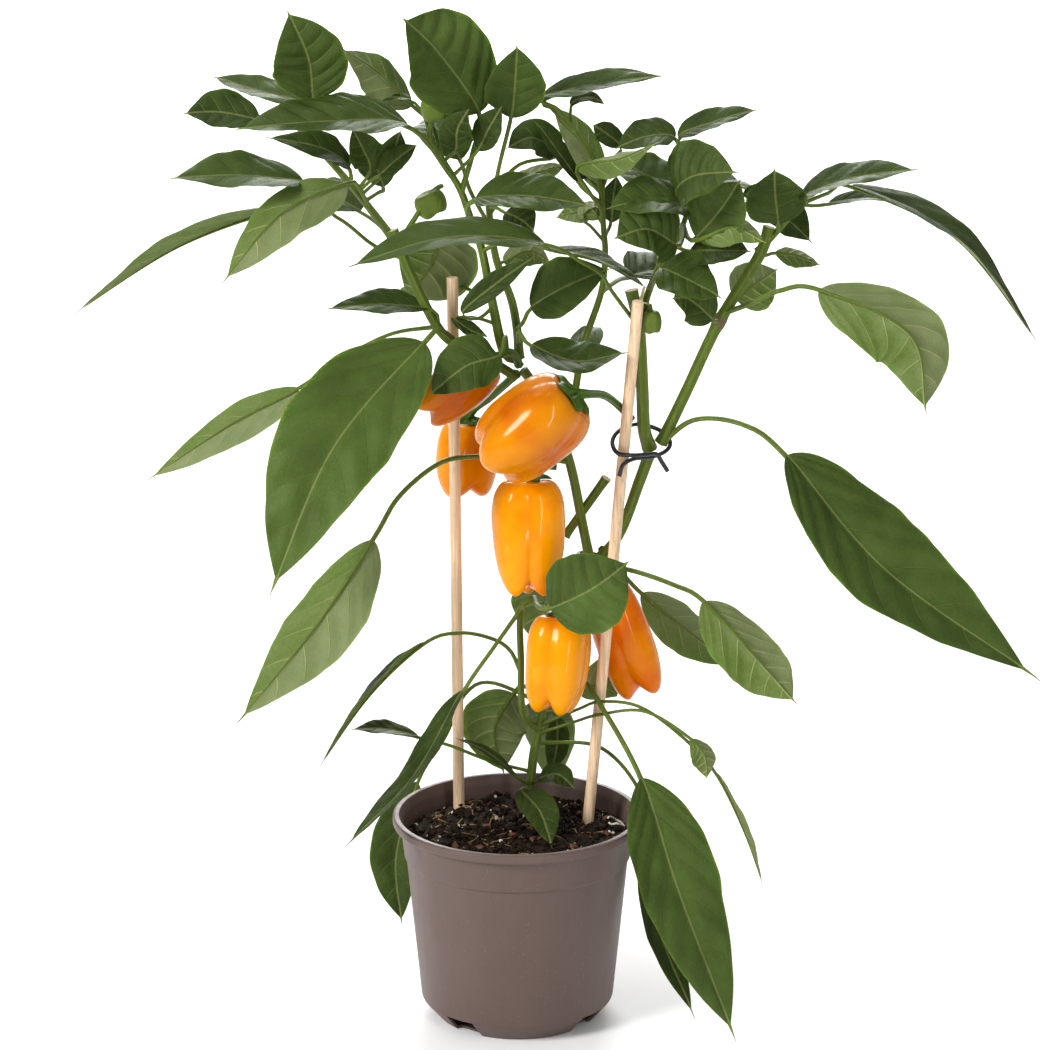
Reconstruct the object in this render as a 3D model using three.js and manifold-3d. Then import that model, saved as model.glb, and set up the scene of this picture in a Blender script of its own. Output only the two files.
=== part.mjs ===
// A young bell pepper plant in a round nursery pot, tied to two wooden stakes.
// Millimetres, +Z up. The origin is the middle of the pot's flat foot, and -Y is the plant's front.

import * as THREE from "three";
import { LoftGeometry } from "three/addons/geometries/LoftGeometry.js";
import { mergeGeometries, mergeVertices } from "three/addons/utils/BufferGeometryUtils.js";
import Module from "manifold-3d";

const wasm = await Module();
wasm.setup();

// ---- Driving dimensions ----

const GAP = 0.35; // between pieces that touch

const POT_HEIGHT = 110;
const POT_RIM_RADIUS = 65;
const POT_NECK_RADIUS = 61; // neck band, just under the rim
const POT_NECK_FOOT_RADIUS = 59;
const POT_SHOULDER_RADIUS = 58; // top of the wall, under the neck band's step
const POT_WALL_FOOT_RADIUS = 50.3;
const POT_FOOT_RADIUS = 41.5;
const POT_WALL = 1.3;
const POT_NECK_FOOT = 87; // height of the step
const POT_RIM_FOOT = 105;
const POT_CHAMFER = 10; // height of the chamfered foot
const POT_SIDES = 32;
const NOTCH_COUNT = 4;
const NOTCH_WIDTH = 17;
const NOTCH_HEIGHT = 10;
const NOTCH_REACH = 4; // inwards from the foot's edge
const NOTCH_TURN = 0.13; // from the diagonals

const SOIL_LEVEL = 100;
const SOIL_EDGE_DROP = 4;
const SOIL_BANK = 50; // radius from which the soil falls to its edge
const SOIL_RINGS = [37, 23, 10];
const SOIL_BUMP = 1.4;
const HOLE_TOP = SOIL_LEVEL + 20; // the holes are cut out to here, above the soil

const STAKE_RADIUS = 3;
const STAKE_DEPTH = 45; // height of a buried stake's lower end
const TRUNK_FOOT = [6, 24];
const TRUNK_DEPTH = 62;
const TRUNK_RADIUS = 2.4;
const WIRE_RADIUS = 1.15;

const BLADE_THICKNESS = 0.9;
const BLADE_FOLD = 0.16; // rise of the blade's two halves from the midrib, as a share of their width
const BLADE_WAVE = 0.07; // height of the edge's waves, as a share of the half width
const WAVE_ALONG = 9; // turns of the waves along and across the blade, in radians
const WAVE_ACROSS = 2;
const LEAF_SIZES = [
  { width: 33, stalkRadius: 1.4, rows: 7, across: [-1, -0.5, 0, 0.5, 1] }, // this wide or wider
  { width: 18.5, stalkRadius: 1.1, rows: 5, across: [-1, 0, 1] },
  { width: 0, stalkRadius: 0.9, rows: 4, across: [-1, 0, 1] },
];
const STALK_STEP = 16; // a leaf stalk's length between two of its sections
const STEM_STEP = 12; // a stem's length between two of its sections
const PEPPER_STALK_STEP = 6;
const WIRE_STEP = 4;

// ---- Colours ----

const LEAF_GREEN = 0x3f5f2e;
const RIPE_ORANGE = 0xf6a012;
const STALK_GREEN = 0x5d7f2c;
const TAUPE = 0x7d706c;
const SOIL_BROWN = 0x33241a;
const PALE_WOOD = 0xdcc09a;
const WIRE_BLACK = 0x141416;

// ---- Geometry helpers ----

const vector = ([x, y, z]) => new THREE.Vector3(x, y, z);

// A smooth curve through the points.
const smoothCurve = (points) => new THREE.CatmullRomCurve3(points.map(vector), false, "catmullrom", 0.5);

// A closed geometry as a solid: shared vertices are merged and triangles of no width are dropped.
function solidOf(geometry) {
  const bare = geometry.clone();
  bare.deleteAttribute("normal");
  bare.deleteAttribute("uv");
  const merged = mergeVertices(bare, 1e-3);
  const index = merged.index.array;
  const kept = [];
  for (let i = 0; i < index.length; i += 3) {
    const [a, b, c] = [index[i], index[i + 1], index[i + 2]];
    if (a !== b && b !== c && c !== a) kept.push(a, b, c);
  }
  return new wasm.Manifold(
    new wasm.Mesh({
      numProp: 3,
      vertProperties: merged.attributes.position.array,
      triVerts: new Uint32Array(kept),
    }),
  );
}

// A solid as a geometry.
function geometryOf(solid) {
  const mesh = solid.getMesh();
  const geometry = new THREE.BufferGeometry();
  geometry.setAttribute("position", new THREE.BufferAttribute(mesh.vertProperties, 3));
  geometry.setIndex(new THREE.BufferAttribute(mesh.triVerts, 1));
  geometry.computeVertexNormals();
  return geometry;
}

const join = (solids) => solids.reduce((whole, solid) => whole.add(solid));

// A round stem along a smooth curve through the points, thinning from one end to the other.
function stem(points, startRadius, endRadius, sides = 6, stepLength = STEM_STEP) {
  const path = smoothCurve(points);
  const steps = Math.max(2, Math.round(path.getLength() / stepLength));
  const turn = (2 * Math.PI) / sides;
  const corner = (k) => new THREE.Vector2(Math.cos(k * turn), Math.sin(k * turn));
  const section = new THREE.Shape(Array.from({ length: sides }, (_, k) => corner(k)));
  const geometry = new THREE.ExtrudeGeometry(section, { steps, extrudePath: path, bevelEnabled: false });
  const centres = path.getSpacedPoints(steps);
  const position = geometry.getAttribute("position");
  const point = new THREE.Vector3();
  for (let i = 0; i < position.count; i += 1) {
    point.fromBufferAttribute(position, i);
    const distances = centres.map((centre) => centre.distanceTo(point));
    const nearest = distances.indexOf(Math.min(...distances));
    const radius = THREE.MathUtils.lerp(startRadius, endRadius, nearest / steps);
    point.sub(centres[nearest]).setLength(radius).add(centres[nearest]);
    position.setXYZ(i, point.x, point.y, point.z);
  }
  return solidOf(geometry);
}

// One leaf: a stalk from the stem to the blade, and a blade along a midrib, lofted in one piece.
// Across the midrib the halves fold up and the edges wave. The face is the way its upper side looks.
function leaf({ stalk, blade, width, face }) {
  const { stalkRadius, rows: bladeRows, across } = LEAF_SIZES.find((size) => width >= size.width);
  const curve = smoothCurve([...stalk, ...blade]);
  const baseAt = stalk.length / (stalk.length + blade.length - 1); // the blade's base along the curve
  const stalkRows = Math.max(2, Math.round(smoothCurve([...stalk, blade[0]]).getLength() / STALK_STEP));
  const facing = vector(face).normalize();

  // Frames: across the midrib on the blade, and carried back without twist along the stalk.
  const frames = [];
  for (let row = stalkRows + bladeRows; row >= 0; row -= 1) {
    const t = (row - stalkRows) / bladeRows; // along the blade, and below 0 on the stalk
    const u = t > 0 ? baseAt + t * (1 - baseAt) : (baseAt * row) / stalkRows;
    const tangent = curve.getTangent(u);
    const guide = t >= 0 ? new THREE.Vector3().crossVectors(tangent, facing) : frames[0].side.clone();
    const side = guide.addScaledVector(tangent, -guide.dot(tangent)).normalize();
    const up = new THREE.Vector3().crossVectors(side, tangent);
    frames.unshift({ t, tangent, side, up, centre: curve.getPoint(u) });
  }

  // A face's row of points: round on the stalk, folded and waved on the blade.
  const rowOn = (sign) => ({ t, centre, side, up }) => {
    const half = (width / 2) * bladeOutline(Math.max(t, 0));
    const rib = Math.max(BLADE_THICKNESS / 2, 0.7 * stalkRadius * (1 - t));
    return across.map((s) => {
      const edge = Math.abs(s);
      const skin = edge === 1 ? 0 : edge === 0 ? rib : BLADE_THICKNESS / 2;
      const wave = BLADE_WAVE * edge * Math.sin(WAVE_ALONG * t + WAVE_ACROSS * s + width);
      const turn = (s * Math.PI) / 2;
      const onStalk = [stalkRadius * Math.sin(turn), sign * stalkRadius * Math.cos(turn)];
      const onBlade = [half * s, half * (BLADE_FOLD * edge + wave) + sign * skin];
      const [x, z] = t === 1 ? [0, 0] : t > 0 ? onBlade : onStalk;
      return centre.clone().addScaledVector(side, x).addScaledVector(up, z);
    });
  };
  const { centre, tangent } = frames[0];
  const root = centre.clone().addScaledVector(tangent, -1);
  const closed = (rows) => [across.map(() => root.clone()), ...rows];
  return sheetSolid(closed(frames.map(rowOn(1))), closed(frames.map(rowOn(-1))));
}

// A leaf's half width along its midrib, from 0 at the base through 1 to 0 at the drawn-out tip.
function bladeOutline(t) {
  const widest = 0.38;
  const point = 1.25;
  const base = (point * widest) / (1 - widest);
  const shape = (u) => u ** base * (1 - u) ** point;
  return shape(t) / shape(widest);
}

// Two sheets with the same rim, closed against each other, with the same diagonals on both.
function sheetSolid(upper, lower) {
  const top = new LoftGeometry(upper, { closed: false });
  const bottom = new LoftGeometry(lower, { closed: false });
  bottom.index.array.reverse();
  return solidOf(mergeGeometries([top, bottom]));
}

// A round green bud or young fruit.
const fruitlet = (centre, radius, length = radius) =>
  solidOf(new THREE.SphereGeometry(1, 8, 6).scale(radius, radius, length).translate(...centre));

// A mesh of its own name and material.
function piece(name, geometry, color, roughness) {
  const mesh = new THREE.Mesh(geometry, new THREE.MeshStandardMaterial({ color, roughness, metalness: 0 }));
  mesh.name = name;
  return mesh;
}

// ---- Pot and soil ----

// A lathe turned about +Z.
const turned = (profile, sides) =>
  new THREE.LatheGeometry(profile.map(([r, z]) => new THREE.Vector2(r, z)), sides).rotateX(Math.PI / 2);

function potGeometry() {
  const profile = [
    [0, 0],
    [POT_FOOT_RADIUS, 0],
    [POT_WALL_FOOT_RADIUS, POT_CHAMFER],
    [POT_SHOULDER_RADIUS, POT_NECK_FOOT],
    [POT_NECK_FOOT_RADIUS, POT_NECK_FOOT + 1],
    [POT_NECK_RADIUS, POT_RIM_FOOT],
    [POT_RIM_RADIUS - 0.6, POT_RIM_FOOT],
    [POT_RIM_RADIUS, POT_RIM_FOOT + 1],
    [POT_RIM_RADIUS, POT_HEIGHT - 1],
    [POT_RIM_RADIUS - 1.2, POT_HEIGHT],
    [POT_NECK_RADIUS + 0.6, POT_HEIGHT],
    [POT_NECK_RADIUS - POT_WALL, POT_RIM_FOOT],
    [POT_NECK_FOOT_RADIUS - POT_WALL, POT_NECK_FOOT + 1],
    [POT_SHOULDER_RADIUS - POT_WALL, POT_NECK_FOOT - 1],
    [POT_WALL_FOOT_RADIUS - POT_WALL, POT_CHAMFER + 0.5],
    [POT_FOOT_RADIUS - 0.8, POT_WALL],
    [0, POT_WALL],
  ];
  let pot = solidOf(turned(profile, POT_SIDES));
  for (let k = 0; k < NOTCH_COUNT; k += 1) {
    const notch = new THREE.BoxGeometry(2 * POT_CHAMFER, NOTCH_WIDTH, 2 * NOTCH_HEIGHT);
    notch.translate(POT_FOOT_RADIUS + POT_CHAMFER - NOTCH_REACH, 0, 0);
    notch.rotateZ(((k + 0.5) * 2 * Math.PI) / NOTCH_COUNT + NOTCH_TURN);
    pot = pot.subtract(solidOf(notch));
  }
  return geometryOf(pot);
}

// The neck band's outer radius at a height.
const neckRadiusAt = (height) =>
  THREE.MathUtils.mapLinear(height, POT_NECK_FOOT + 1, POT_RIM_FOOT, POT_NECK_FOOT_RADIUS, POT_NECK_RADIUS);

// The soil fills the pot up to its level, with a lumpy top and a plain hole round each stem and stake.
function soilGeometry(holes) {
  const inside = POT_WALL + GAP;
  const bottom = NOTCH_HEIGHT + 1;
  const profile = [
    [0, bottom],
    [POT_WALL_FOOT_RADIUS - inside - 1, bottom],
    [POT_WALL_FOOT_RADIUS - inside, POT_CHAMFER + 1.5],
    [POT_SHOULDER_RADIUS - inside, POT_NECK_FOOT - 1],
    [POT_NECK_FOOT_RADIUS - inside, POT_NECK_FOOT + 1],
    [neckRadiusAt(SOIL_LEVEL - SOIL_EDGE_DROP) - inside, SOIL_LEVEL - SOIL_EDGE_DROP],
    [SOIL_BANK, SOIL_LEVEL - 1],
    ...SOIL_RINGS.map((radius) => [radius, SOIL_LEVEL]),
    [0, SOIL_LEVEL],
  ];
  const geometry = turned(profile, POT_SIDES);
  const position = geometry.getAttribute("position");
  for (let i = 0; i < position.count; i += 1) {
    const [x, y, z] = [position.getX(i), position.getY(i), position.getZ(i)];
    const lumps = Math.sin(0.21 * x + 0.9) * Math.cos(0.17 * y) + 0.6 * Math.sin(0.33 * (x + y));
    if (z > SOIL_LEVEL - 2) position.setZ(i, z + SOIL_BUMP * lumps);
  }
  const bores = holes.map(([from, to, radius]) => solidOf(rodGeometry(from, to, radius + GAP, 10)));
  return geometryOf(solidOf(geometry).subtract(join(bores)));
}

// A straight round rod from one point to another.
function rodGeometry(from, to, radius, sides) {
  const [low, high] = [vector(from), vector(to)];
  const axis = new THREE.Vector3().subVectors(high, low);
  const geometry = new THREE.CylinderGeometry(radius, radius, axis.length(), sides);
  geometry.applyQuaternion(
    new THREE.Quaternion().setFromUnitVectors(new THREE.Vector3(0, 1, 0), axis.normalize()),
  );
  const middle = low.add(high).multiplyScalar(0.5);
  return geometry.translate(middle.x, middle.y, middle.z);
}

// ---- Stakes and tie ----

const LEFT_STAKE = { foot: [-31, 35, 100], top: [-33, 30, 389] };
const RIGHT_STAKE = { foot: [37, 13, 100], top: [61, -2, 384] };

// A stake's buried end, on its own line below its foot.
function buriedEnd({ foot, top }, height) {
  const [low, high] = [vector(foot), vector(top)];
  return low.lerp(high, (height - foot[2]) / (top[2] - foot[2])).toArray();
}

const WIRE_ROUTE = [
  [52, -3, 293],
  [54, -3.5, 299],
  [60, 1, 301],
  [68, 7, 300],
  [76, 12, 302],
  [78.5, 18, 305],
  [75, 23, 309],
  [68, 24, 312],
  [60, 20, 314],
  [52, 11, 313],
  [48.5, 4, 309],
  [51, -3, 305],
  [58, -3.5, 304],
  [65, 1, 303],
  [71, 6, 302],
  [74, 9, 297],
  [77, 10, 292],
];

// ---- Leaves, each with its stalk's points from the stem outwards and its midrib's points ----

const MAIN_LEAVES = {
  left_high: { stalk: [[28, 22, 293], [1, 15, 299], [-19, 13, 299], [-39, 8, 297], [-60, -2, 282]],
    blade: [[-73, -10, 261], [-102, -30, 221], [-142, -52, 176]], width: 39, face: [3, 7, -6] },
  left_mid: { stalk: [[7, 20, 182], [-4, 16, 194], [-14, 11, 202], [-30, 4, 207]],
    blade: [[-48, -2, 204], [-76, -12, 179], [-103, -24, 142]], width: 22, face: [-5, 2, 8] },
  left_low: { stalk: [[3, 12, 218], [-13, -3, 200]],
    blade: [[-28, -14, 182], [-53, -34, 142], [-88, -58, 112]], width: 23, face: [-6, -2, 8] },
  left_small: { stalk: [[6, 22, 125], [-14, 10, 135], [-35, 0, 147]],
    blade: [[-51, -6, 154], [-69, -9, 159], [-86, -12, 160]], width: 13, face: [0, -3, 10] },
  front_heart: { stalk: [[9, 10, 224], [11, -2, 223]],
    blade: [[17, -17, 227], [38, -26, 240], [57, -24, 254]], width: 44, face: [1, -9, 2] },
  right_mid: { stalk: [[39, 20, 240], [60, 12, 238], [81, 3, 233]],
    blade: [[95, -6, 227], [122, -24, 202], [142, -40, 183]], width: 34, face: [-2, 7, -6] },
  right_rear: { stalk: [[37, 20, 238], [32, 38, 240], [47, 50, 233]],
    blade: [[65, 54, 213], [91, 62, 189], [117, 72, 166]], width: 25, face: [-2, 8, -5] },
  pale_rear: { stalk: [[19, 25, 164], [27, 40, 159]],
    blade: [[33, 48, 159], [52, 52, 168], [68, 54, 162]], width: 22, face: [-2, 9, -2] },
  right_thin: { stalk: [[14, 24, 150], [32, 12, 163], [43, 3, 170], [63, -2, 169], [84, -6, 155]],
    blade: [[103, -10, 136], [118, -14, 105], [128, -18, 76]], width: 14, face: [5, 2, 7] },
  right_folded: { stalk: [[14, 24, 145], [30, 12, 156], [43, 3, 163], [66, -4, 167]],
    blade: [[89, -10, 154], [97, -13, 145], [98, -14, 133]], width: 16, face: [-4, 6, -6] },
  right_large: { stalk: [[22, 25, 185], [35, 14, 178], [41, 3, 172]],
    blade: [[64, -16, 135], [83, -44, 82], [113, -54, 4]], width: 45, face: [4, -9, 2] },
  right_dark: { stalk: [[12, 24, 141], [43, 18, 140], [64, 14, 117]],
    blade: [[67, 10, 94], [74, -4, 47], [93, -24, 4]], width: 20, face: [5, -8, 2] },
  low_pale: { stalk: [[12, 25, 164], [4, 29, 170]],
    blade: [[-2, 32, 165], [-12, 36, 143], [-7, 37, 118]], width: 36, face: [0, 9, 2] },
  low_dark: { stalk: [[7, 22, 117]],
    blade: [[0, 15, 125], [-16, 9, 140], [-32, 4, 150]], width: 9, face: [0, -3, 10] },
  soil_front: { stalk: [[6, 22, 115]],
    blade: [[2, 10, 119], [12, -6, 112], [18, -26, 100]], width: 19, face: [0, -5, 9] },
  low_round: { stalk: [[8, 22, 117]],
    blade: [[11, 16, 123], [21, 11, 127], [30, 6, 121]], width: 15, face: [0, -5, 9] },
  low_back: { stalk: [[17, 26, 157]],
    blade: [[20, 31, 153], [21, 34, 136], [17, 35, 118]], width: 13, face: [0, -9, 2] },
  rear_low_leaf: { stalk: [[18, 25, 175], [16, 40, 164]],
    blade: [[15, 50, 155], [16, 66, 130], [19, 80, 95]], width: 30, face: [2, 6, 6] },
  rear_side: { stalk: [[35, 22, 233], [30, 44, 229]],
    blade: [[25, 56, 223], [15, 74, 203], [12, 94, 169]], width: 36, face: [-2, 5, 7] },
  rear_left: { stalk: [[14, 25, 161], [-14, 32, 171], [-28, 38, 162], [-38, 42, 138]],
    blade: [[-53, 46, 111], [-65, 50, 67], [-62, 46, 29]], width: 28, face: [-2, -9, 2] },
};

const LEFT_LEAVES = {
  top_left_upright: { stalk: [[-91, 18, 448], [-98, 16, 463]],
    blade: [[-102, 14, 483], [-104, 8, 506], [-114, 2, 531]], width: 38, face: [0, -10, 3] },
  dark_folded: { stalk: [[-97, 18, 455], [-100, 24, 469]],
    blade: [[-107, 28, 479], [-130, 40, 483], [-156, 52, 489]], width: 24, face: [0, -3, 10] },
  blunt: { stalk: [[-101, 18, 460], [-114, 20, 470]],
    blade: [[-129, 20, 472], [-149, 20, 476], [-168, 17, 476]], width: 26, face: [0, -6, 8] },
  left_flat: { stalk: [[-83, 14, 439], [-99, 10, 444]],
    blade: [[-107, 6, 444], [-138, -6, 449], [-173, -18, 450]], width: 32, face: [0, -4, 9] },
  two_tone: { stalk: [[-73, 14, 430], [-79, 8, 439]],
    blade: [[-85, 2, 443], [-117, -18, 432], [-146, -38, 401]], width: 30, face: [3, 8, -6] },
  long_thin: { stalk: [[-60, 14, 402], [-73, 16, 409], [-90, 18, 422]],
    blade: [[-110, 20, 429], [-170, 28, 407], [-230, 36, 367]], width: 31, face: [-3, 3, 9] },
  below_dark: { stalk: [[-38, 13, 366], [-41, 12, 375]],
    blade: [[-45, 11, 377], [-69, 7, 380], [-97, 2, 379]], width: 21, face: [0, -4, 10] },
  largest: { stalk: [[-28, 16, 358], [-39, 6, 367]],
    blade: [[-47, -3, 363], [-92, -40, 317], [-123, -68, 249]], width: 59, face: [-3, -9, 4] },
  pale_low: { stalk: [[-40, 14, 368], [-65, 22, 361], [-91, 28, 346]],
    blade: [[-112, 32, 330], [-149, 40, 308], [-194, 48, 276]], width: 22, face: [2, 8, -6] },
  inner_small: { stalk: [[-81, 20, 435], [-73, 14, 443]],
    blade: [[-69, 10, 446], [-60, 4, 455], [-49, 0, 464]], width: 14, face: [1, -7, 6] },
  inner_tiny: { stalk: [[-76, 17, 432], [-70, 26, 434]],
    blade: [[-68, 34, 435], [-74, 44, 447], [-84, 52, 455]], width: 20, face: [0, -6, 7] },
  rear_wing: { stalk: [[-61, 14, 411], [-70, 34, 415]],
    blade: [[-80, 46, 420], [-99, 62, 425], [-118, 80, 419]], width: 30, face: [0, -4, 9] },
  fill_left: { stalk: [[-80, 18, 443]],
    blade: [[-84, 14, 449], [-98, 8, 460], [-126, 2, 467]], width: 20, face: [0, -5, 8] },
  fill_middle: { stalk: [[-76, 18, 441]],
    blade: [[-74, 16, 447], [-77, 12, 458], [-83, 8, 471]], width: 18, face: [0, -8, 5] },
  fill_right: { stalk: [[-73, 18, 439]],
    blade: [[-67, 16, 446], [-62, 12, 457], [-58, 8, 470]], width: 15, face: [1, -8, 5] },
};

const MIDDLE_LEAVES = {
  flat_left: { stalk: [[-33, 20, 444]],
    blade: [[-54, 2, 473], [-94, -16, 478], [-139, -30, 477]], width: 42, face: [0, -3, 9] },
  behind_bud: { stalk: [[-42, 20, 458], [-47, 22, 474]],
    blade: [[-53, 22, 482], [-69, 20, 483], [-86, 17, 478]], width: 14, face: [0, -3, 10] },
  upper_pointed: { stalk: [[-36, 20, 452], [-43, 24, 469]],
    blade: [[-53, 25, 478], [-69, 22, 495], [-88, 18, 509]], width: 27, face: [-1, 6, -8] },
  pale_round: { stalk: [[-23, 18, 420], [-35, 30, 412]],
    blade: [[-39, 40, 410], [-44, 44, 392], [-58, 44, 374]], width: 46, face: [-1, 9, -4] },
  top_broad: { stalk: [[-28, 19, 435], [-22, 24, 456]],
    blade: [[-19, 24, 475], [-40, 14, 508], [-57, 2, 527]], width: 47, face: [1, -9, 4] },
  top_heart: { stalk: [[-14, 30, 421], [-9, 24, 448]],
    blade: [[-3, 16, 474], [-1, 6, 494], [0, -4, 515]], width: 31, face: [1, -9, 4] },
  front_dark: { stalk: [[-23, 18, 420], [-25, 4, 429]],
    blade: [[-21, -5, 437], [6, -14, 440], [38, -20, 436]], width: 34, face: [0, -4, 9] },
  pale_back: { stalk: [[-14, 30, 421], [-9, 38, 427]],
    blade: [[-3, 40, 435], [11, 42, 441], [26, 43, 445]], width: 14, face: [0, 6, -8] },
  arch_right: { stalk: [[-18, 18, 406], [-1, 7, 415]],
    blade: [[16, -5, 412], [41, -17, 408], [66, -24, 395]], width: 20, face: [1, 0, 10] },
  bright: { stalk: [[-1, 24, 364], [3, 14, 369]],
    blade: [[7, 9, 378], [25, 0, 391], [47, -3, 401]], width: 31, face: [1, -7, 6] },
  pale_narrow: { stalk: [[-12, 18, 375], [-20, 10, 372]],
    blade: [[-28, 6, 376], [-10, 4, 392], [9, 2, 406]], width: 12, face: [0, -8, 5] },
  small_dark: { stalk: [[-10, 18, 367], [-21, 12, 372]],
    blade: [[-32, 8, 373], [-24, 5, 367], [-14, 3, 364]], width: 11, face: [0, -3, 9] },
  mid_dark: { stalk: [[0, 24, 355], [1, 12, 365]],
    blade: [[7, 4, 360], [30, -4, 353], [56, -8, 359]], width: 28, face: [0, -4, 9] },
  over_fruit: { stalk: [[-5, 20, 350], [-6, 10, 363]],
    blade: [[-9, -2, 356], [-26, -10, 352], [-45, -17, 338]], width: 29, face: [0, -9, 5] },
  small_shade: { stalk: [[-15, 30, 432], [1, 32, 447]],
    blade: [[20, 33, 451], [8, 30, 461], [-6, 27, 456]], width: 22, face: [0, -6, 7] },
  small_drop: { stalk: [[-15, 30, 426], [-9, 18, 427]],
    blade: [[-6, 14, 426], [2, 10, 423], [9, 8, 417]], width: 18, face: [1, -7, 5] },
  pale_under: { stalk: [[-11, 29, 400], [-9, 38, 395]],
    blade: [[-7, 42, 394], [6, 46, 399], [18, 50, 392]], width: 16, face: [0, 7, -6] },
  rear_crown: { stalk: [[-17, 27, 414], [-24, 44, 431]],
    blade: [[-29, 54, 445], [-40, 66, 458], [-50, 80, 461]], width: 30, face: [0, -4, 9] },
  rear_far_left: { stalk: [[-12, 20, 379], [-24, 40, 380]],
    blade: [[-32, 52, 380], [-48, 70, 378], [-64, 88, 364]], width: 32, face: [0, -4, 9] },
  crown_left: { stalk: [[-33, 20, 453]],
    blade: [[-31, 18, 457], [-30, 14, 468], [-24, 10, 480]], width: 18, face: [0, -8, 5] },
  crown_middle: { stalk: [[-24, 19, 448]],
    blade: [[-20, 18, 457], [-14, 14, 469], [-7, 10, 482]], width: 16, face: [-1, -8, 5] },
};

const CENTRE_LEAVES = {
  top_right: { stalk: [[22, 24, 472], [17, 22, 478]],
    blade: [[12, 21, 482], [42, 16, 493], [73, 10, 497]], width: 17, face: [0, -3, 10] },
  top_short: { stalk: [[29, 26, 465]],
    blade: [[27, 28, 478], [36, 29, 482], [45, 30, 478]], width: 9, face: [0, -5, 9] },
  edge_grey: { stalk: [[44, 33, 423], [36, 25, 435]],
    blade: [[31, 20, 448], [52, 10, 454], [71, 0, 465]], width: 24, face: [1, 3, -9] },
  edge_left: { stalk: [[42, 32, 431], [37, 36, 437]],
    blade: [[36, 38, 439], [31, 39, 443], [25, 40, 448]], width: 14, face: [0, -5, 9] },
  tall_pale: { stalk: [[43, 33, 426], [44, 36, 436]],
    blade: [[43, 37, 433], [33, 38, 458], [17, 38, 477]], width: 17, face: [-2, 9, -3] },
  tall_dark: { stalk: [[42, 33, 426], [34, 27, 435]],
    blade: [[31, 25, 440], [20, 22, 456], [9, 18, 472]], width: 13, face: [4, -5, 6] },
  grey_small: { stalk: [[45, 33, 434], [49, 40, 448]],
    blade: [[53, 42, 454], [45, 44, 461], [38, 46, 465]], width: 12, face: [-2, -7, 5] },
  crest_right: { stalk: [[34, 28, 458], [22, 22, 476]],
    blade: [[12, 18, 484], [41, 10, 492], [74, 2, 498]], width: 19, face: [0, -4, 9] },
  hidden_pale: { stalk: [[44, 34, 407], [37, 40, 414]],
    blade: [[33, 42, 417], [39, 45, 422], [46, 48, 418]], width: 14, face: [0, 6, -8] },
  rear_right: { stalk: [[43, 34, 381], [52, 50, 383]],
    blade: [[58, 60, 383], [74, 76, 382], [91, 92, 371]], width: 34, face: [0, -4, 9] },
  rear_low: { stalk: [[35, 34, 352], [38, 50, 346]],
    blade: [[39, 60, 342], [30, 78, 342], [23, 95, 330]], width: 30, face: [0, -6, 7] },
  rear_shade: { stalk: [[44, 44, 409]],
    blade: [[48, 46, 414], [49, 46, 426], [51, 44, 440]], width: 14, face: [0, -9, 3] },
  rear_pale: { stalk: [[42, 42, 415]],
    blade: [[40, 46, 418], [31, 48, 419], [19, 48, 416]], width: 11, face: [0, 9, -3] },
};

const INNER_LEAVES = {
  upper_left: { stalk: [[88, 24, 430], [89, 14, 428]],
    blade: [[87, 10, 429], [68, 2, 435], [44, -6, 432]], width: 31, face: [0, -5, 9] },
  left_dark: { stalk: [[83, 22, 418], [83, 8, 413]],
    blade: [[80, 2, 412], [65, -8, 422], [48, -16, 419]], width: 36, face: [0, -8, 6] },
  droop_dark: { stalk: [[68, 15, 386], [70, 6, 395]],
    blade: [[72, 1, 400], [85, -6, 396], [103, -10, 387]], width: 32, face: [1, -6, 8] },
  broad_dark: { stalk: [[87, 23, 425], [82, 14, 432]],
    blade: [[80, 8, 439], [89, -2, 448], [110, -12, 452]], width: 39, face: [1, -7, 6] },
  high_left: { stalk: [[88, 24, 430], [84, 26, 450]],
    blade: [[80, 26, 462], [66, 24, 463], [49, 22, 457]], width: 24, face: [0, -5, 9] },
  high_right: { stalk: [[88, 24, 430], [86, 22, 449]],
    blade: [[81, 21, 463], [100, 17, 472], [121, 13, 479]], width: 20, face: [0, -4, 9] },
  right_heart: { stalk: [[85, 23, 418], [87, 10, 413]],
    blade: [[90, 6, 415], [102, 1, 430], [112, -3, 447]], width: 31, face: [1, -8, 5] },
  far_right: { stalk: [[88, 24, 430], [100, 30, 432]],
    blade: [[115, 38, 431], [135, 40, 419], [151, 38, 405]], width: 28, face: [1, -5, 8] },
  arch_left: { stalk: [[62, 9, 367], [48, -4, 389], [42, -12, 400], [32, -20, 408]],
    blade: [[14, -31, 420], [-34, -46, 426], [-84, -60, 414]], width: 30, face: [0, -3, 9] },
  pale_stretch: { stalk: [[83, 22, 415], [88, 8, 413]],
    blade: [[94, 2, 415], [109, -4, 422], [125, -8, 415]], width: 19, face: [0, 6, -8] },
  rear_fill: { stalk: [[86, 24, 425], [78, 44, 424]],
    blade: [[79, 54, 426], [64, 66, 436], [49, 78, 442]], width: 30, face: [0, -4, 9] },
  rear_up: { stalk: [[88, 24, 430], [93, 46, 434]],
    blade: [[97, 56, 428], [109, 70, 431], [121, 86, 422]], width: 28, face: [0, -4, 9] },
  mid_right: { stalk: [[84, 16, 405]],
    blade: [[87, 12, 407], [101, 6, 408], [118, 0, 409]], width: 26, face: [0, -6, 8] },
};

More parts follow.
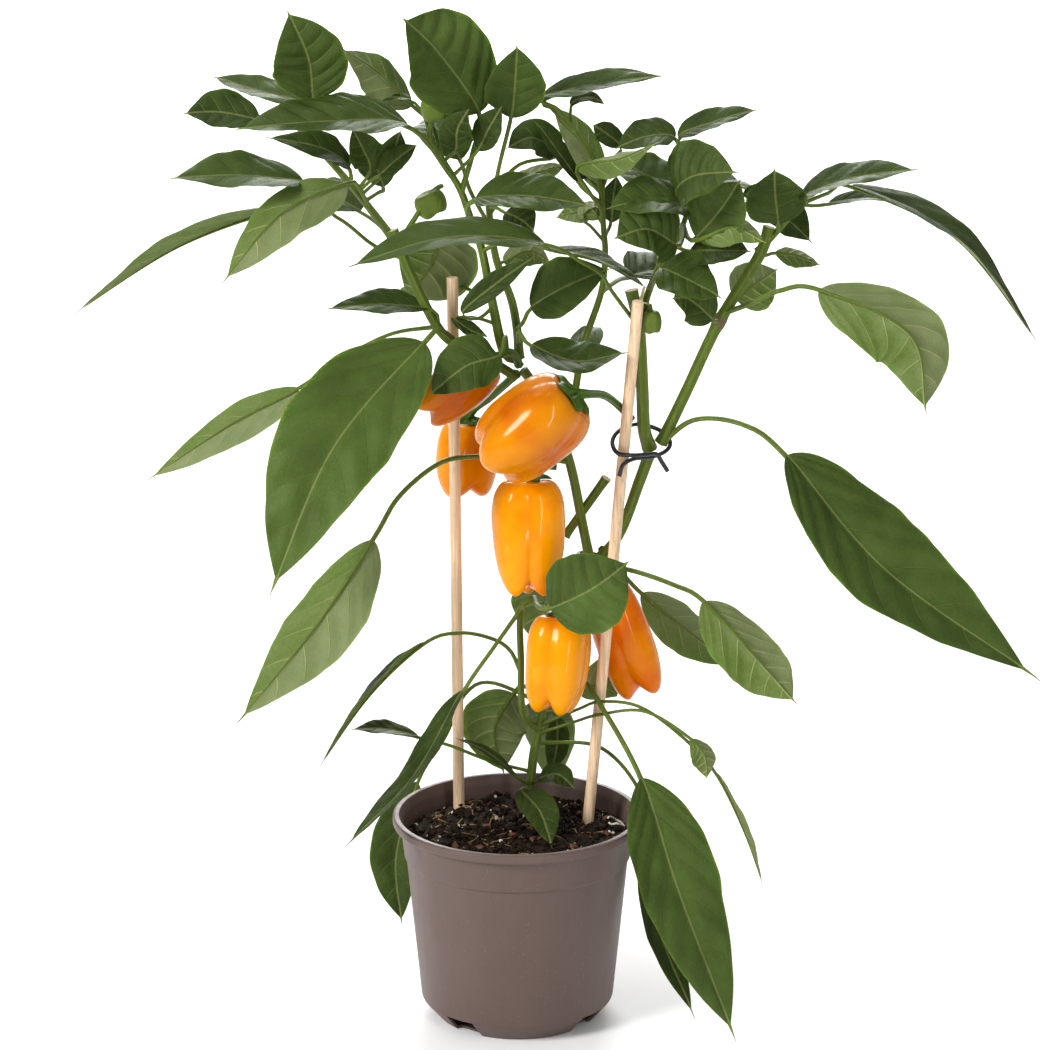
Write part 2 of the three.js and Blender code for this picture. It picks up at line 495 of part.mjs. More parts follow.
const OUTER_LEAVES = {
  low_light: { stalk: [[100, 20, 370], [100, 12, 370]],
    blade: [[99, 8, 372], [87, 5, 383], [78, 3, 384]], width: 24, face: [0, -8, 5] },
  pale_round_right: { stalk: [[104, 21, 375], [109, 30, 374]],
    blade: [[112, 36, 376], [122, 40, 383], [134, 42, 391]], width: 27, face: [0, 9, -3] },
  pale_right: { stalk: [[122, 22, 401], [127, 36, 399]],
    blade: [[132, 40, 399], [144, 43, 397], [156, 44, 392]], width: 13, face: [0, 6, -8] },
  shoot_round: { stalk: [[131, 21, 413], [132, 18, 415]],
    blade: [[132, 16, 420], [130, 12, 435], [129, 9, 450]], width: 32, face: [0, -9, 4] },
  right_flat: { stalk: [[143, 20, 429], [143, 16, 430]],
    blade: [[142, 12, 434], [166, 0, 446], [200, -14, 454]], width: 27, face: [0, -4, 10] },
  long_arch: { stalk: [[143, 20, 429], [158, 16, 436]],
    blade: [[168, 14, 440], [222, 14, 413], [266, 8, 358]], width: 31, face: [3, -1, 8] },
  right_edge: { stalk: [[143, 20, 429], [150, 26, 427]],
    blade: [[158, 28, 428], [179, 30, 430], [202, 31, 426]], width: 14, face: [0, -2, 10] },
  right_broad: { stalk: [[104, 18, 374], [118, 9, 380], [132, -1, 389]],
    blade: [[151, -9, 391], [196, -26, 372], [204, -40, 335]], width: 42, face: [-2, 8, -6] },
  right_largest: { stalk: [[73, 15, 306], [91, 7, 320], [115, -8, 321]],
    blade: [[136, -18, 308], [185, -44, 255], [262, -70, 205]], width: 55, face: [3, -7, 7] },
};

// ---- Stems: points from the root upwards, with the radius at both ends ----

const MAIN_STEMS = [
  { route: [[...TRUNK_FOOT, TRUNK_DEPTH], [...TRUNK_FOOT, 105]], from: TRUNK_RADIUS, to: TRUNK_RADIUS },
  { route: [[...TRUNK_FOOT, 103], [8, 24, 131], [11, 24, 147], [14, 25, 164], [22, 25, 196], [31, 22, 225],
    [38, 20, 240]], from: TRUNK_RADIUS, to: 2.4 },
  { route: [[37, 20, 238], [52, 18, 255], [63, 17, 285], [68, 16, 300]], from: 2.5, to: 3 },
  { route: [[38, 20, 240], [34, 20, 260], [27, 22, 294], [16, 26, 323], [3, 24, 342]], from: 2.5, to: 2.4 },
  { route: [[25, 22, 254], [35, 21, 269], [46, 18, 286]], from: 2.2, to: 2.4 },
  { route: [[11, 24, 147], [3, 16, 160], [2, 13, 189], [2, 12, 217], [9, 10, 224]], from: 1.8, to: 1.7 },
];
const LEFT_STEMS = [
  { route: [[-0.5, 23, 338], [-10, 21, 345], [-24, 18, 354], [-37, 14, 362], [-48, 13, 381], [-61, 14, 411],
    [-63, 14, 417]], from: 2.3, to: 2.7 },
  { route: [[-61, 14, 409], [-66, 15, 417], [-83, 16, 439], [-97, 18, 455], [-102, 18, 461]],
    from: 2.2, to: 1.6 },
  { route: [[-59, 15, 411], [-44, 24, 433], [-38, 28, 437]], from: 1.5, to: 1.2 },
];
const MIDDLE_STEMS = [
  { route: [[1, 23, 348], [-7, 20, 353], [-13, 18, 380], [-18, 18, 406], [-23, 18, 420], [-28, 19, 435],
    [-33, 20, 444], [-39, 20, 454], [-44, 19, 463], [-43, 20, 472]], from: 2.7, to: 1.4 },
  { route: [[1, 23, 348], [0, 25, 362], [-3, 27, 378], [-11, 29, 400], [-15, 30, 430]],
    from: 2.4, to: 1.6 },
];
const CENTRE_STEMS = [
  { route: [[26, 26, 308], [30, 32, 329], [34, 34, 352], [43, 34, 380], [45, 34, 400], [44, 34, 415],
    [42, 32, 436], [34, 28, 458], [22, 24, 472]], from: 2, to: 1.2 },
];
const INNER_STEMS = [
  { route: [[68, 15.2, 302.6], [65, 12, 314], [64, 11, 334], [62, 10, 367], [58, 10, 387]],
    from: 3.3, to: 3.1 },
  { route: [[62, 10, 368], [66, 15, 383], [73, 19, 399], [82, 22, 413], [88, 24, 430]], from: 2, to: 1.3 },
  { route: [[62, 10, 373], [66, 6, 381], [68, 3, 375]], from: 1.6, to: 1.4 },
];
const OUTER_STEMS = [
  { route: [[73.8, 17, 305], [78, 16, 314], [87, 18, 333], [103, 20, 368], [123, 22, 402], [128, 22, 417]],
    from: 2.9, to: 2.9 },
  { route: [[122, 22, 404], [131, 21, 414], [143, 20, 429]], from: 1.9, to: 1.4 },
];

// All stems, leaves and green buds of one branch in one solid. A leaf's stalk starts at the middle of
// the stem that is nearest to its first point.
function branch(stems, leaves, buds = []) {
  const hearts = stems.flatMap(({ route }) => smoothCurve(route).getSpacedPoints(60));
  const rooted = Object.values(leaves).map((entry) => {
    const start = vector(entry.stalk[0]);
    const distances = hearts.map((heart) => heart.distanceTo(start));
    const root = hearts[distances.indexOf(Math.min(...distances))];
    return leaf({ ...entry, stalk: [root.toArray(), ...entry.stalk.slice(1)] });
  });
  const solids = stems.map(({ route, from, to }) => stem(route, from, to, 7));
  return geometryOf(join([...solids, ...rooted, ...buds]));
}

// ---- Peppers ----

// Each pepper: the middle of its shoulders, its blossom end, its greatest radius, how many lobes it has,
// how it is turned about its axis, how much it thins downwards, and its stalk's way to the stem.
const PEPPERS = {
  upper_front: {
    shoulder: [29.5, -28, 343], blossom: [-14.3, -22, 305.3], radius: 21.8, lobes: 3, turn: 5.5, taper: 0,
    stalk: [[35, -25, 341.5], [44, -10, 337], [52, 5, 327.5], [58, 10, 319.5]],
  },
  middle: {
    shoulder: [5.3, 11, 290], blossom: [6, 0, 228.5], radius: 21.1, lobes: 3, turn: 1.35, taper: 0.31,
    stalk: [[7, 16, 293], [13, 20, 292], [20, 21, 292]],
  },
  lower: {
    shoulder: [23.5, 5, 218.5], blossom: [18, -4, 166], radius: 18.2, lobes: 4, turn: 4.46, taper: 0.2,
    stalk: [[21, 8, 225], [16, 9, 229]],
  },
  right_lower: {
    shoulder: [43.5, 32, 232], blossom: [66.5, 30, 165.8], radius: 13.4, lobes: 3, turn: 2.32, taper: -0.16,
    stalk: [[45, 33, 238], [47, 31, 243], [44, 26, 245]],
  },
  upper_left: {
    shoulder: [-12, 4.5, 353], blossom: [-48.5, 4.5, 324], radius: 14, lobes: 3, turn: 0.8, taper: 0.1,
    stalk: [[-5, 8, 355], [-1, 13, 352], [1, 17.5, 346]],
  },
  rear: {
    shoulder: [-26.4, 54, 309], blossom: [-27.8, 54, 266.5], radius: 16.2, lobes: 3, turn: 0.4, taper: 0.04,
    stalk: [[-22, 50, 315], [-15, 42, 322], [-7, 34, 331], [0, 28, 339]],
  },
};
const PEPPER_DIMPLE = 3.2; // depth of the hollow round the calyx
const PEPPER_CLEFT = 4; // depth of the hollow between the lobes' ends
const CALYX_SHARE = 0.42; // its radius, as a share of the pepper's
const CALYX_RIM = 1;
const CALYX_HEIGHT = 5;
const CALYX_NECK_RADIUS = 3;
const CALYX_SLOPE = 0.2; // of its under side, which lies on the pepper's shoulders
const PEPPER_STALK_RADII = [2.3, 1.9];

// A pepper about +Z, calyx end up: a round fruit with lobes, a hollow top and a cleft lower end.
function pepperGeometry({ radius, lobes, turn, taper }, length) {
  const geometry = new THREE.SphereGeometry(1, 16, 10).rotateX(Math.PI / 2);
  const position = geometry.getAttribute("position");
  for (let i = 0; i < position.count; i += 1) {
    const [x, y, u] = [position.getX(i), position.getY(i), position.getZ(i)];
    const rho = Math.min(Math.hypot(x, y), 1);
    const angle = Math.atan2(y, x);
    const lobe = Math.cos(lobes * angle + turn) * Math.min(1, 3 * rho);
    const down = THREE.MathUtils.clamp((1 - u) / 2, 0, 1);
    const r = radius * rho ** 0.62 * (1 - taper * down) * (1 + 0.05 * lobe + 0.05 * lobe * down);
    const top = u > 0 ? PEPPER_DIMPLE * Math.exp(-((rho / 0.35) ** 2)) : 0;
    const cleft = u < 0 ? PEPPER_CLEFT * Math.exp(-((rho / 0.4) ** 2)) - 0.06 * length * lobe * down : 0;
    const z = (length / 2) * Math.sign(u) * Math.abs(u) ** 0.9 - top + cleft;
    position.setXYZ(i, r * Math.cos(angle), r * Math.sin(angle), z);
  }
  return geometryOf(solidOf(geometry));
}

// The calyx lies in the hollow, and the stalk bends from it to the stem.
function stalkGeometry(route, length, pepperRadius) {
  const seat = length / 2 - PEPPER_DIMPLE + 0.7;
  const radius = CALYX_SHARE * pepperRadius;
  const edge = seat + CALYX_SLOPE * radius;
  const profile = [
    [0, seat],
    [radius, edge],
    [radius, edge + CALYX_RIM],
    [CALYX_NECK_RADIUS, seat + CALYX_HEIGHT - 0.6],
    [0, seat + CALYX_HEIGHT],
  ];
  const calyx = solidOf(turned(profile, 8));
  const stalk = stem([[0, 0, seat + 2], ...route], ...PEPPER_STALK_RADII, 6, PEPPER_STALK_STEP);
  return geometryOf(calyx.add(stalk));
}

// A pepper and its stalk, in a group that stands along the pepper's axis.
function pepperGroup(name, pepper) {
  const [shoulder, blossom] = [vector(pepper.shoulder), vector(pepper.blossom)];
  const axis = new THREE.Vector3().subVectors(shoulder, blossom);
  const length = axis.length();
  const group = new THREE.Group();
  group.position.addVectors(shoulder, blossom).multiplyScalar(0.5);
  group.quaternion.setFromUnitVectors(new THREE.Vector3(0, 0, 1), axis.normalize());
  group.updateMatrix();
  const inward = group.matrix.clone().invert();
  const route = pepper.stalk.map((point) => vector(point).applyMatrix4(inward).toArray());
  group.add(piece(`pepper_${name}`, pepperGeometry(pepper, length), RIPE_ORANGE, 0.25));
  group.add(piece(`stalk_${name}`, stalkGeometry(route, length, pepper.radius), STALK_GREEN, 0.5));
  return group;
}

// ---- The whole plant ----

const stakes = { stake_left: LEFT_STAKE, stake_right: RIGHT_STAKE };
const holes = Object.values(stakes).map((stake) => [
  buriedEnd(stake, STAKE_DEPTH - GAP),
  buriedEnd(stake, HOLE_TOP),
  STAKE_RADIUS,
]);
holes.push([[...TRUNK_FOOT, TRUNK_DEPTH - GAP], [...TRUNK_FOOT, HOLE_TOP], TRUNK_RADIUS]);

const plant = new THREE.Group();
plant.add(piece("pot", potGeometry(), TAUPE, 0.45));
plant.add(piece("soil", soilGeometry(holes), SOIL_BROWN, 0.95));
for (const [name, stake] of Object.entries(stakes)) {
  const rod = rodGeometry(buriedEnd(stake, STAKE_DEPTH), stake.top, STAKE_RADIUS, 10);
  plant.add(piece(name, rod, PALE_WOOD, 0.75));
}
const wire = stem(WIRE_ROUTE, WIRE_RADIUS, WIRE_RADIUS, 6, WIRE_STEP);
plant.add(piece("wire_tie", geometryOf(wire), WIRE_BLACK, 0.4));
const branches = {
  main_stem: branch(MAIN_STEMS, MAIN_LEAVES),
  left_branch: branch(LEFT_STEMS, LEFT_LEAVES, [fruitlet([-44, 26, 428], 8.5, 7.5)]),
  middle_branch: branch(MIDDLE_STEMS, MIDDLE_LEAVES, [fruitlet([-41, 20, 478], 8, 7.5)]),
  centre_branch: branch(CENTRE_STEMS, CENTRE_LEAVES),
  right_inner_branch: branch(INNER_STEMS, INNER_LEAVES, [fruitlet([68, 3, 372], 5, 6.5)]),
  right_outer_branch: branch(OUTER_STEMS, OUTER_LEAVES),
};
for (const [name, geometry] of Object.entries(branches)) {
  plant.add(piece(name, geometry, LEAF_GREEN, 0.55));
}
for (const [name, pepper] of Object.entries(PEPPERS)) {
  plant.add(pepperGroup(name, pepper));
}

export default plant;
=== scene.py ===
"""A young bell pepper plant in a nursery pot, dressed round its fixed frame.

Lengths in the tables and settings are millimetres, but the stage's are metres. Meshes are metres, in the
frame's own axes: +Z up, the origin at the middle of the pot's foot, and -Y the plant's front.
"""

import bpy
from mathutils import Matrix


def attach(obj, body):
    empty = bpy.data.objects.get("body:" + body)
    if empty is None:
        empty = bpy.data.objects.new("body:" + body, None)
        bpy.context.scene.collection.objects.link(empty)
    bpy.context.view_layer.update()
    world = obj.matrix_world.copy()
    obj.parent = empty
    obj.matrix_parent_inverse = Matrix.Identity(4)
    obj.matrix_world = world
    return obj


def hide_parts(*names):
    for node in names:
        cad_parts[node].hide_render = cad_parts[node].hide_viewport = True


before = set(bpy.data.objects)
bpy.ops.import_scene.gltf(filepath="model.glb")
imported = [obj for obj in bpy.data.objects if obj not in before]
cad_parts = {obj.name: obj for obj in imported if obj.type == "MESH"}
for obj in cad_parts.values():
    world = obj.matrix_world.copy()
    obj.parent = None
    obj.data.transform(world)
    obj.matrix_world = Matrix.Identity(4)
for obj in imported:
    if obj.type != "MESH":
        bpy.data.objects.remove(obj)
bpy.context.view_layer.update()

import math

import bmesh
import bpy
import numpy as np
from bpy.props import FloatProperty, FloatVectorProperty, IntProperty, PointerProperty
from mathutils import Euler, Matrix, Vector

bl_info = {
    "name": "Potted Pepper Plant",
    "version": (1, 0, 0),
    "blender": (4, 5, 0),
    "location": "3D View > Sidebar > Pepper Plant",
    "description": "Builds a potted bell pepper plant with fruit, stakes and soil",
    "category": "Object",
}

MM = 0.001

# ---- The plant's layout, in millimetres ----

# Each leaf's row: its name, its width and the way its upper side faces, then its stalk's points from the
# stem outwards, and last its midrib's base, middle and tip.
MAIN_LEAVES = """
left_high 39 3 7 -6, 28 22 293, 1 15 299, -19 13 299, -39 8 297, -60 -2 282, -73 -10 261, \
    -102 -30 221, -142 -52 176
left_mid 22 -5 2 8, 7 20 182, -4 16 194, -14 11 202, -30 4 207, -48 -2 204, -76 -12 179, -103 -24 142
left_low 23 -6 -2 8, 3 12 218, -13 -3 200, -28 -14 182, -53 -34 142, -88 -58 112
left_small 13 0 -3 10, 6 22 125, -14 10 135, -35 0 147, -51 -6 154, -69 -9 159, -86 -12 160
front_heart 44 1 -9 2, 9 10 224, 11 -2 223, 17 -17 227, 38 -26 240, 57 -24 254
right_mid 34 -2 7 -6, 39 20 240, 60 12 238, 81 3 233, 95 -6 227, 122 -24 202, 142 -40 183
right_rear 25 -2 8 -5, 37 20 238, 32 38 240, 47 50 233, 65 54 213, 91 62 189, 117 72 166
pale_rear 22 -2 9 -2, 19 25 164, 27 40 159, 33 48 159, 52 52 168, 68 54 162
thin 14 5 2 7, 14 24 150, 32 12 163, 43 3 170, 63 -2 169, 84 -6 155, 103 -10 136, 118 -14 105, 128 -18 76
right_folded 16 -4 6 -6, 14 24 145, 30 12 156, 43 3 163, 66 -4 167, 89 -10 154, 97 -13 145, 98 -14 133
right_large 45 4 -9 2, 22 25 185, 35 14 178, 41 3 172, 64 -16 135, 83 -44 82, 113 -54 4
right_dark 20 5 -8 2, 12 24 141, 43 18 140, 64 14 117, 67 10 94, 74 -4 47, 93 -24 4
low_pale 36 0 9 2, 12 25 164, 4 29 170, -2 32 165, -12 36 143, -7 37 118
low_dark 9 0 -3 10, 7 22 117, 0 15 125, -16 9 140, -32 4 150
soil_front 19 0 -5 9, 6 22 115, 2 10 119, 12 -6 112, 18 -26 100
low_round 15 0 -5 9, 8 22 117, 11 16 123, 21 11 127, 30 6 121
low_back 13 0 -9 2, 17 26 157, 20 31 153, 21 34 136, 17 35 118
rear_low_leaf 30 2 6 6, 18 25 175, 16 40 164, 15 50 155, 16 66 130, 19 80 95
rear_side 36 -2 5 7, 35 22 233, 30 44 229, 25 56 223, 15 74 203, 12 94 169
rear_left 28 -2 -9 2, 14 25 161, -14 32 171, -28 38 162, -38 42 138, -53 46 111, -65 50 67, -62 46 29
"""
LEFT_LEAVES = """
top_left_upright 38 0 -10 3, -91 18 448, -98 16 463, -102 14 483, -104 8 506, -114 2 531
dark_folded 24 0 -3 10, -97 18 455, -100 24 469, -107 28 479, -130 40 483, -156 52 489
blunt 26 0 -6 8, -101 18 460, -114 20 470, -129 20 472, -149 20 476, -168 17 476
left_flat 32 0 -4 9, -83 14 439, -99 10 444, -107 6 444, -138 -6 449, -173 -18 450
two_tone 30 3 8 -6, -73 14 430, -79 8 439, -85 2 443, -117 -18 432, -146 -38 401
long_thin 31 -3 3 9, -60 14 402, -73 16 409, -90 18 422, -110 20 429, -170 28 407, -230 36 367
below_dark 21 0 -4 10, -38 13 366, -41 12 375, -45 11 377, -69 7 380, -97 2 379
largest 59 -3 -9 4, -28 16 358, -39 6 367, -47 -3 363, -92 -40 317, -123 -68 249
pale_low 22 2 8 -6, -40 14 368, -65 22 361, -91 28 346, -112 32 330, -149 40 308, -194 48 276
inner_small 14 1 -7 6, -81 20 435, -73 14 443, -69 10 446, -60 4 455, -49 0 464
inner_tiny 20 0 -6 7, -76 17 432, -70 26 434, -68 34 435, -74 44 447, -84 52 455
rear_wing 30 0 -4 9, -61 14 411, -70 34 415, -80 46 420, -99 62 425, -118 80 419
fill_left 20 0 -5 8, -80 18 443, -84 14 449, -98 8 460, -126 2 467
fill_middle 18 0 -8 5, -76 18 441, -74 16 447, -77 12 458, -83 8 471
fill_right 15 1 -8 5, -73 18 439, -67 16 446, -62 12 457, -58 8 470
"""
MIDDLE_LEAVES = """
flat_left 42 0 -3 9, -33 20 444, -54 2 473, -94 -16 478, -139 -30 477
behind_bud 14 0 -3 10, -42 20 458, -47 22 474, -53 22 482, -69 20 483, -86 17 478
upper_pointed 27 -1 6 -8, -36 20 452, -43 24 469, -53 25 478, -69 22 495, -88 18 509
pale_round 46 -1 9 -4, -23 18 420, -35 30 412, -39 40 410, -44 44 392, -58 44 374
top_broad 47 1 -9 4, -28 19 435, -22 24 456, -19 24 475, -40 14 508, -57 2 527
top_heart 31 1 -9 4, -14 30 421, -9 24 448, -3 16 474, -1 6 494, 0 -4 515
front_dark 34 0 -4 9, -23 18 420, -25 4 429, -21 -5 437, 6 -14 440, 38 -20 436
pale_back 14 0 6 -8, -14 30 421, -9 38 427, -3 40 435, 11 42 441, 26 43 445
arch_right 20 1 0 10, -18 18 406, -1 7 415, 16 -5 412, 41 -17 408, 66 -24 395
bright 31 1 -7 6, -1 24 364, 3 14 369, 7 9 378, 25 0 391, 47 -3 401
pale_narrow 12 0 -8 5, -12 18 375, -20 10 372, -28 6 376, -10 4 392, 9 2 406
small_dark 11 0 -3 9, -10 18 367, -21 12 372, -32 8 373, -24 5 367, -14 3 364
mid_dark 28 0 -4 9, 0 24 355, 1 12 365, 7 4 360, 30 -4 353, 56 -8 359
over_fruit 29 0 -9 5, -5 20 350, -6 10 363, -9 -2 356, -26 -10 352, -45 -17 338
small_shade 22 0 -6 7, -15 30 432, 1 32 447, 20 33 451, 8 30 461, -6 27 456
small_drop 18 1 -7 5, -15 30 426, -9 18 427, -6 14 426, 2 10 423, 9 8 417
pale_under 16 0 7 -6, -11 29 400, -9 38 395, -7 42 394, 6 46 399, 18 50 392
rear_crown 30 0 -4 9, -17 27 414, -24 44 431, -29 54 445, -40 66 458, -50 80 461
rear_far_left 32 0 -4 9, -12 20 379, -24 40 380, -32 52 380, -48 70 378, -64 88 364
crown_left 18 0 -8 5, -33 20 453, -31 18 457, -30 14 468, -24 10 480
crown_middle 16 -1 -8 5, -24 19 448, -20 18 457, -14 14 469, -7 10 482
"""
CENTRE_LEAVES = """
top_right 17 0 -3 10, 22 24 472, 17 22 478, 12 21 482, 42 16 493, 73 10 497
top_short 9 0 -5 9, 29 26 465, 27 28 478, 36 29 482, 45 30 478
edge_grey 24 1 3 -9, 44 33 423, 36 25 435, 31 20 448, 52 10 454, 71 0 465
edge_left 14 0 -5 9, 42 32 431, 37 36 437, 36 38 439, 31 39 443, 25 40 448
tall_pale 17 -2 9 -3, 43 33 426, 44 36 436, 43 37 433, 33 38 458, 17 38 477
tall_dark 13 4 -5 6, 42 33 426, 34 27 435, 31 25 440, 20 22 456, 9 18 472
grey_small 12 -2 -7 5, 45 33 434, 49 40 448, 53 42 454, 45 44 461, 38 46 465
crest_right 19 0 -4 9, 34 28 458, 22 22 476, 12 18 484, 41 10 492, 74 2 498
hidden_pale 14 0 6 -8, 44 34 407, 37 40 414, 33 42 417, 39 45 422, 46 48 418
rear_right 34 0 -4 9, 43 34 381, 52 50 383, 58 60 383, 74 76 382, 91 92 371
rear_low 30 0 -6 7, 35 34 352, 38 50 346, 39 60 342, 30 78 342, 23 95 330
rear_shade 14 0 -9 3, 44 44 409, 48 46 414, 49 46 426, 51 44 440
rear_pale 11 0 9 -3, 42 42 415, 40 46 418, 31 48 419, 19 48 416
"""
INNER_LEAVES = """
upper_left 31 0 -5 9, 88 24 430, 89 14 428, 87 10 429, 68 2 435, 44 -6 432
left_dark 36 0 -8 6, 83 22 418, 83 8 413, 80 2 412, 65 -8 422, 48 -16 419
droop_dark 32 1 -6 8, 68 15 386, 70 6 395, 72 1 400, 85 -6 396, 103 -10 387
broad_dark 39 1 -7 6, 87 23 425, 82 14 432, 80 8 439, 89 -2 448, 110 -12 452
high_left 24 0 -5 9, 88 24 430, 84 26 450, 80 26 462, 66 24 463, 49 22 457
high_right 20 0 -4 9, 88 24 430, 86 22 449, 81 21 463, 100 17 472, 121 13 479
right_heart 31 1 -8 5, 85 23 418, 87 10 413, 90 6 415, 102 1 430, 112 -3 447
far_right 28 1 -5 8, 88 24 430, 100 30 432, 115 38 431, 135 40 419, 151 38 405
arch_left 30 0 -3 9, 62 9 367, 48 -4 389, 42 -12 400, 32 -20 408, 14 -31 420, -34 -46 426, -84 -60 414
pale_stretch 19 0 6 -8, 83 22 415, 88 8 413, 94 2 415, 109 -4 422, 125 -8 415
rear_fill 30 0 -4 9, 86 24 425, 78 44 424, 79 54 426, 64 66 436, 49 78 442
rear_up 28 0 -4 9, 88 24 430, 93 46 434, 97 56 428, 109 70 431, 121 86 422
mid_right 26 0 -6 8, 84 16 405, 87 12 407, 101 6 408, 118 0 409
"""
OUTER_LEAVES = """
low_light 24 0 -8 5, 100 20 370, 100 12 370, 99 8 372, 87 5 383, 78 3 384
pale_round_right 27 0 9 -3, 104 21 375, 109 30 374, 112 36 376, 122 40 383, 134 42 391
pale_right 13 0 6 -8, 122 22 401, 127 36 399, 132 40 399, 144 43 397, 156 44 392
shoot_round 32 0 -9 4, 131 21 413, 132 18 415, 132 16 420, 130 12 435, 129 9 450
right_flat 27 0 -4 10, 143 20 429, 143 16 430, 142 12 434, 166 0 446, 200 -14 454
long_arch 31 3 -1 8, 143 20 429, 158 16 436, 168 14 440, 222 14 413, 266 8 358
right_edge 14 0 -2 10, 143 20 429, 150 26 427, 158 28 428, 179 30 430, 202 31 426
right_broad 42 -2 8 -6, 104 18 374, 118 9 380, 132 -1 389, 151 -9 391, 196 -26 372, 204 -40 335
right_largest 55 3 -7 7, 73 15 306, 91 7 320, 115 -8 321, 136 -18 308, 185 -44 255, 262 -70 205
"""

# Each stem's row: its radius at its start and at its end, and then its points.
MAIN_STEMS = """
2.4 2.4, 6 24 62, 6 24 105
2.4 2.4, 6 24 103, 8 24 131, 11 24 147, 14 25 164, 22 25 196, 31 22 225, 38 20 240
2.5 3, 37 20 238, 52 18 255, 63 17 285, 68 16 300
2.5 2.4, 38 20 240, 34 20 260, 27 22 294, 16 26 323, 3 24 342
2.2 2.4, 25 22 254, 35 21 269, 46 18 286
1.8 1.7, 11 24 147, 3 16 160, 2 13 189, 2 12 217, 9 10 224
"""
LEFT_STEMS = """
2.3 2.7, -0.5 23 338, -10 21 345, -24 18 354, -37 14 362, -48 13 381, -61 14 411, -63 14 417
2.2 1.6, -61 14 409, -66 15 417, -83 16 439, -97 18 455, -102 18 461
1.5 1.2, -59 15 411, -44 24 433, -38 28 437
"""
MIDDLE_STEMS = """
2.7 1.4, 1 23 348, -7 20 353, -13 18 380, -18 18 406, -23 18 420, -28 19 435, \
    -33 20 444, -39 20 454, -44 19 463, -43 20 472
2.4 1.6, 1 23 348, 0 25 362, -3 27 378, -11 29 400, -15 30 430
"""
CENTRE_STEMS = """
2 1.2, 26 26 308, 30 32 329, 34 34 352, 43 34 380, 45 34 400, 44 34 415, 42 32 436, 34 28 458, 22 24 472
"""
INNER_STEMS = """
3.3 3.1, 68 15.2 302.6, 65 12 314, 64 11 334, 62 10 367, 58 10 387
2 1.3, 62 10 368, 66 15 383, 73 19 399, 82 22 413, 88 24 430
1.6 1.4, 62 10 373, 66 6 381, 68 3 375
"""
OUTER_STEMS = """
2.9 2.9, 73.8 17 305, 78 16 314, 87 18 333, 103 20 368, 123 22 402, 128 22 417
1.9 1.4, 122 22 404, 131 21 414, 143 20 429
"""
CUT_ENDS = {(46, 18, 286), (58, 10, 387), (128, 22, 417), (-63, 14, 417)}  # where a pruned stem ends
KNUCKLES = {(128, 22, 417): 0.56}  # how far along the stem with this end its brown knuckle is
WITHERED_FLOWER = [[61.3, 5, 371.5], [62, 4, 380], [64, 5, 389]]  # from its base to its tip

LEFT_STAKE = ([-31, 35, 100], [-33, 30, 389])
RIGHT_STAKE = ([37, 13, 100], [61, -2, 384])
STAKE_DEPTH = 45  # height of a buried stake's lower end
WIRE_ROUTE = [  # the tie's way round the right stake and the stems beside it
    [52, -3, 293], [54, -3.5, 299], [60, 1, 301], [68, 7, 300], [76, 12, 302], [78.5, 18, 305], [75, 23, 309],
    [68, 24, 312], [60, 20, 314], [52, 11, 313], [48.5, 4, 309], [51, -3, 305], [58, -3.5, 304],
    [65, 1, 303], [71, 6, 302], [74, 9, 297], [77, 10, 292],
]
# Each young green fruit: its middle, its radius, its half length and the way it hangs.
LEFT_BUDS = [([-44, 26, 428], 8.3, 7.2, [0.5, 0, -1])]
MIDDLE_BUDS = [([-41, 20, 478], 7.8, 7.2, [0.2, 0, -1])]
INNER_BUDS = [([68, 3, 372], 5, 6.5, [0.1, 0, -1])]
# Each pepper: the middle of its shoulders, its blossom end, its greatest radius, how many lobes it has, how
# it is turned about its axis, how much it thins downwards, and its stalk's way to the stem.
PEPPERS = {
    "upper_front": ([29.5, -28, 343], [-14.3, -22, 305.3], 21.8, 3, 5.5, 0,
        [[35, -25, 341.5], [44, -10, 337], [52, 5, 327.5], [58, 10, 319.5]]),
    "middle": ([5.3, 11, 290], [6, 0, 228.5], 21.1, 3, 1.35, 0.31,
        [[7, 16, 293], [13, 20, 292], [20, 21, 292]]),
    "lower": ([23.5, 5, 218.5], [18, -4, 166], 18.2, 4, 4.46, 0.2, [[21, 8, 225], [16, 9, 229]]),
    "right_lower": ([43.5, 32, 232], [66.5, 30, 165.8], 13.4, 3, 2.32, -0.16,
        [[45, 33, 238], [47, 31, 243], [44, 26, 245]]),
    "upper_left": ([-12, 4.5, 353], [-48.5, 4.5, 324], 14, 3, 0.8, 0.1,
        [[-5, 8, 355], [-1, 13, 352], [1, 17.5, 346]]),
    "rear": ([-26.4, 54, 309], [-27.8, 54, 266.5], 16.2, 3, 0.4, 0.04,
        [[-22, 50, 315], [-15, 42, 322], [-7, 34, 331], [0, 28, 339]]),
}
BRANCHES = {
    "main_stem": (MAIN_STEMS, MAIN_LEAVES, []),
    "left_branch": (LEFT_STEMS, LEFT_LEAVES, LEFT_BUDS),
    "middle_branch": (MIDDLE_STEMS, MIDDLE_LEAVES, MIDDLE_BUDS),
    "centre_branch": (CENTRE_STEMS, CENTRE_LEAVES, []),
    "right_inner_branch": (INNER_STEMS, INNER_LEAVES, INNER_BUDS),
    "right_outer_branch": (OUTER_STEMS, OUTER_LEAVES, []),
}

